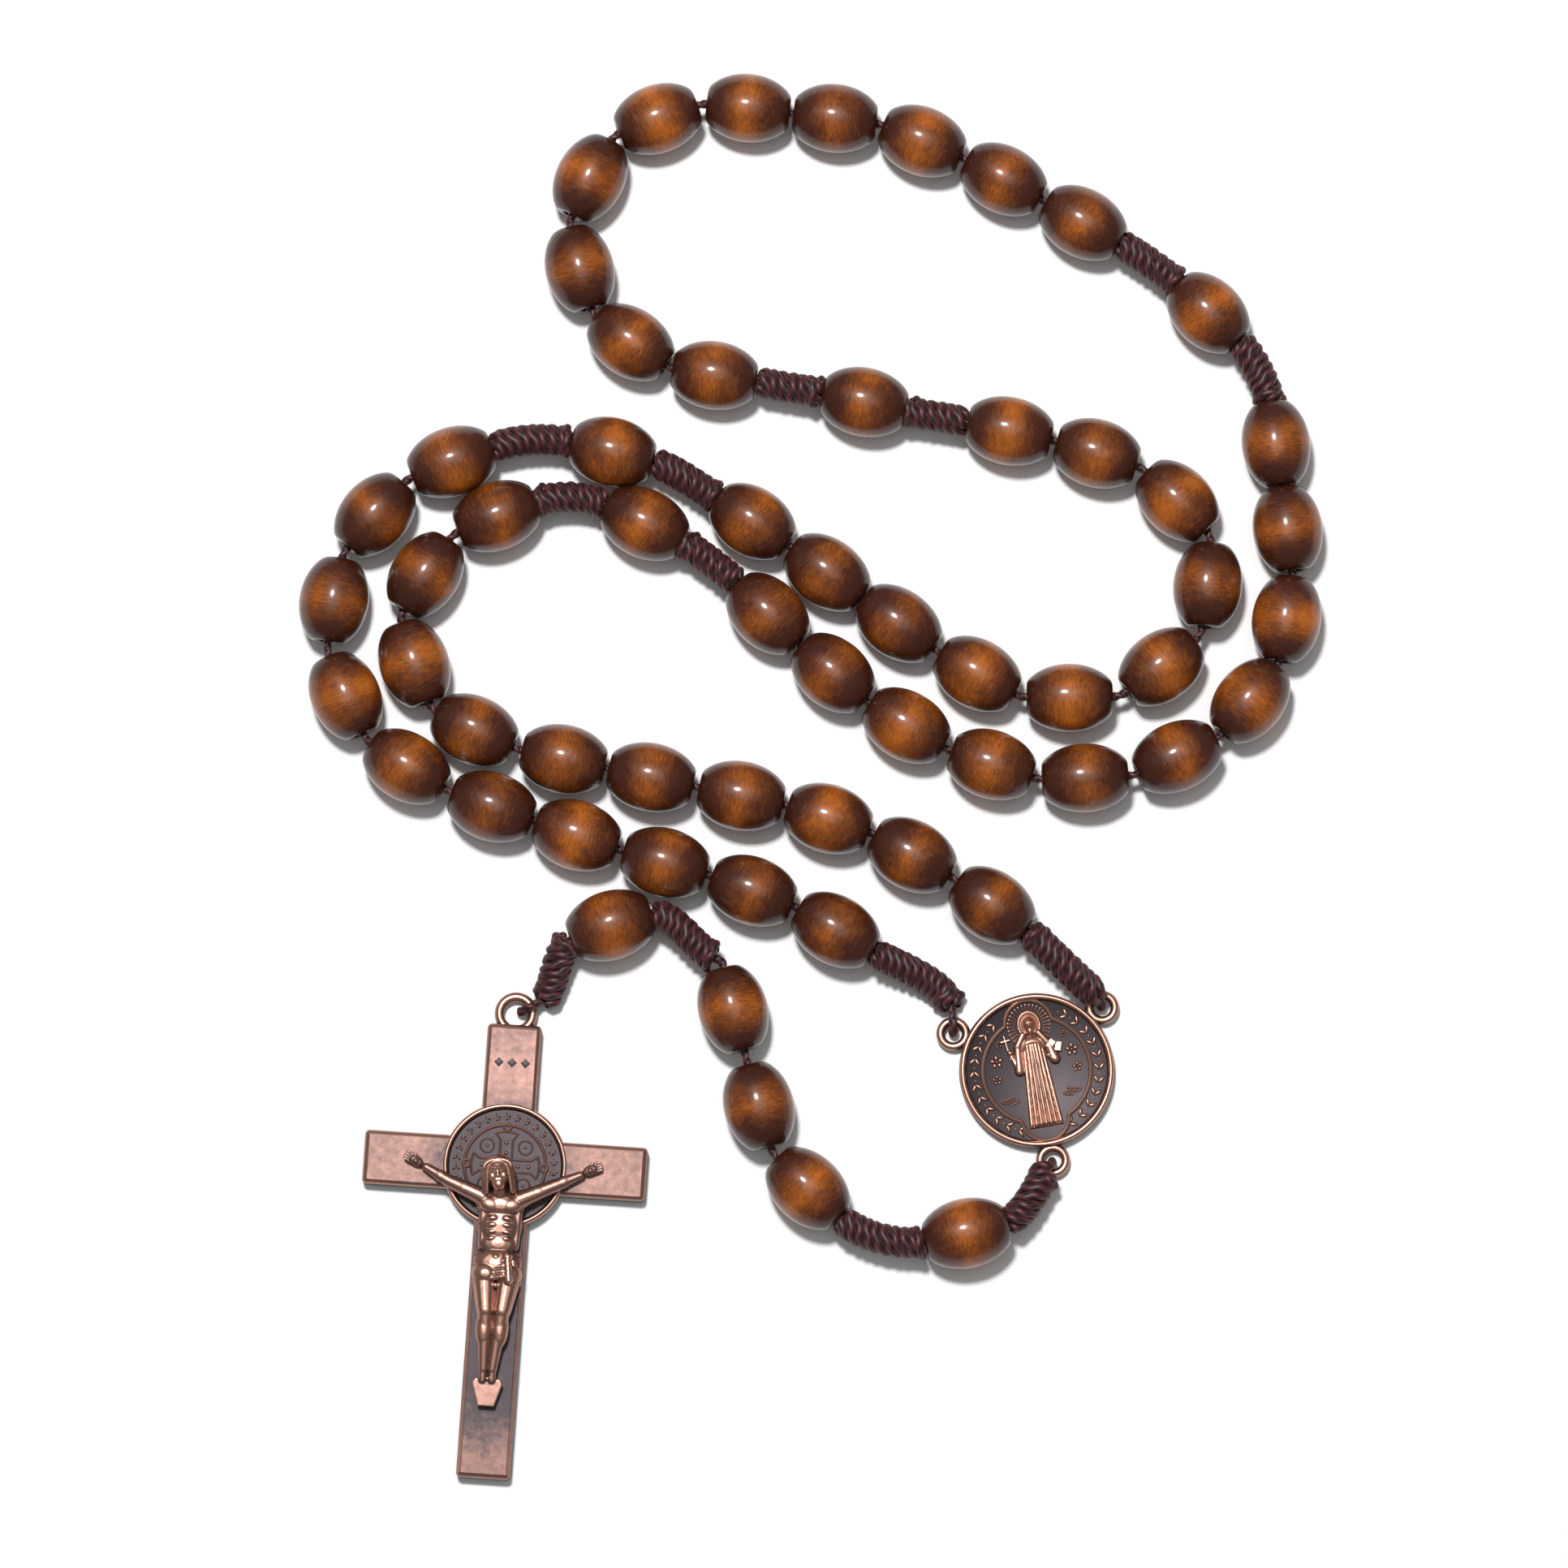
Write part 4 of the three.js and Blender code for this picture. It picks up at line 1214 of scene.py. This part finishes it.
    # Foot rest, broad at its shoulders and narrow below
    rest = [(-1.65, -24.9), (-1.95, -25.5), (-1.15, -28.1), (0.75, -28.1), (1.55, -25.5),
            (1.25, -24.9)]
    base = bm.faces.new([bm.verts.new((x, y, back)) for x, y in rest])
    top = [item for item in bmesh.ops.extrude_face_region(bm, geom=[base])["geom"]
           if isinstance(item, bmesh.types.BMVert)]
    bmesh.ops.translate(bm, vec=(0, 0, 1.15), verts=top)
    ball(bm, at(-0.2, -24.9, 1.5), (0.22, 0.22, 0.2), segments=10)


def head_shapes(bm, centre, tilt):
    """A calm, plain bearded head with long hair and a rolled band."""
    turn = Matrix.Translation(centre) @ Matrix.Rotation(tilt, 4, "Z")

    def at(x, y, z):
        return turn @ Vector((x, y, z))

    ball(bm, at(0, 0.1, 0), (1.3, 1.85, 1.3), tilt)
    ball(bm, at(0, 0.8, -0.3), (1.75, 1.45, 1.35), tilt)
    ball(bm, at(0, -1.3, 0.4), (0.8, 0.8, 0.78), tilt)
    ball(bm, at(0, 0.05, 1.34), (0.17, 0.5, 0.24), tilt, 12)
    ball(bm, at(0, -0.34, 1.45), (0.26, 0.17, 0.2), tilt, 12)
    limb(bm, at(-0.34, -0.8, 1.1), at(0.34, -0.8, 1.1), 0.12, 0.12, 10)
    for side in (-1, 1):
        limb(bm, at(side * 0.2, 0.55, 1.22), at(side * 0.8, 0.5, 1.02), 0.14, 0.11, 10)
        ball(bm, at(side * 0.46, 0.26, 1.06), (0.25, 0.12, 0.16), tilt, 12)
        ball(bm, at(side * 0.66, -0.35, 0.8), (0.42, 0.55, 0.4), tilt, 12)
        for k in range(3):
            limb(bm, at(side * (1.2 + 0.22 * k), 1.0 - 0.25 * k, 0.55 - 0.25 * k),
                 at(side * (1.42 + 0.2 * k), -2.2 - 0.1 * k, 0.1 - 0.1 * k), 0.34, 0.2, 10)
    band = [at(1.55 * math.cos(a), 0.75 + 0.8 * math.sin(a), 0.72)
            for a in [math.radians(-8 + 196 * k / 13) for k in range(14)]]
    for one, two in zip(band, band[1:]):
        limb(bm, one, two, 0.25, 0.25, 10)


# ---- Stage ------------------------------------------------------------------------------


def area_light(name, place, target, size, power):
    data = bpy.data.lights.new(name, "AREA")
    data.shape = "DISK"
    data.size = size
    data.energy = power
    light = bpy.data.objects.new(name, data)
    light.location = place
    light.rotation_euler = (target - Vector(place)).to_track_quat("-Z", "Y").to_euler()
    bpy.context.scene.collection.objects.link(light)


class ROSARY_OT_stage(bpy.types.Operator):
    """Set the table, the lights and the camera"""

    bl_idname = "rosary.stage"
    bl_label = "Table, lights and camera"

    def execute(self, context):
        settings = context.scene.rosary_stage
        middle = (CAD_LOW + CAD_HIGH) / 2
        middle.z = 0
        bm = bmesh.new()
        bmesh.ops.create_grid(bm, x_segments=1, y_segments=1, size=6)
        bmesh.ops.translate(bm, vec=middle - UP * 0.02 * MM, verts=bm.verts)
        material, *_ = fresh_material(
            "table_white", Base_Color=(0.93, 0.93, 0.93, 1), Roughness=0.7)
        finished("table", bm, material, smooth=None)
        world = bpy.data.worlds.new("studio")
        world.use_nodes = True
        sky = world.node_tree.nodes["Background"].inputs
        sky["Color"].default_value = (1, 1, 1, 1)
        sky["Strength"].default_value = 0.2
        context.scene.world = world
        area_light("key", middle + Vector((-0.11, 0.25, 0.96)), middle, 0.13, 9.0)
        area_light("softbox", middle + Vector((0.05, 0.05, 1.2)), middle, 0.9, 1.9)
        data = bpy.data.cameras.new("camera")
        data.lens = 50
        data.sensor_width = data.lens * settings.width / settings.distance
        camera = bpy.data.objects.new("camera", data)
        aim = middle + Vector((-3.2 * MM, -1.6 * MM, 3 * MM))
        back = Vector((0, -math.cos(settings.elevation), math.sin(settings.elevation)))
        camera.location = aim + back * settings.distance
        camera.rotation_euler = (-back).to_track_quat("-Z", "Y").to_euler()
        context.scene.collection.objects.link(camera)
        context.scene.camera = camera
        context.scene.view_settings.view_transform = "Standard"
        return {"FINISHED"}


# ---- Panel and registration -------------------------------------------------------------


class ROSARY_PT_panel(bpy.types.Panel):
    bl_label = "Rosary"
    bl_space_type = "VIEW_3D"
    bl_region_type = "UI"
    bl_category = "Rosary"

    def draw(self, context):
        for operator in OPERATORS:
            self.layout.operator(operator.bl_idname)
        for group in SETTINGS:
            box = self.layout.box()
            for name in SETTINGS[group].__annotations__:
                box.prop(getattr(context.scene, group), name)


OPERATORS = (ROSARY_OT_stage, ROSARY_OT_cords, ROSARY_OT_beads, ROSARY_OT_medal,
             ROSARY_OT_crucifix)
SETTINGS = {"rosary_beads": BeadSettings, "rosary_cord": CordSettings,
            "rosary_metal": MetalSettings, "rosary_stage": StageSettings}


def register():
    for cls in (*SETTINGS.values(), *OPERATORS, ROSARY_PT_panel):
        bpy.utils.register_class(cls)
    for name, cls in SETTINGS.items():
        setattr(bpy.types.Scene, name, PointerProperty(type=cls))


def unregister():
    for name in SETTINGS:
        delattr(bpy.types.Scene, name)
    for cls in reversed((*SETTINGS.values(), *OPERATORS, ROSARY_PT_panel)):
        bpy.utils.unregister_class(cls)


def main():
    register()
    bpy.ops.rosary.stage()
    bpy.ops.rosary.cords()
    bpy.ops.rosary.beads()
    bpy.ops.rosary.medal()
    bpy.ops.rosary.crucifix()


if __name__ == "__main__":
    main()
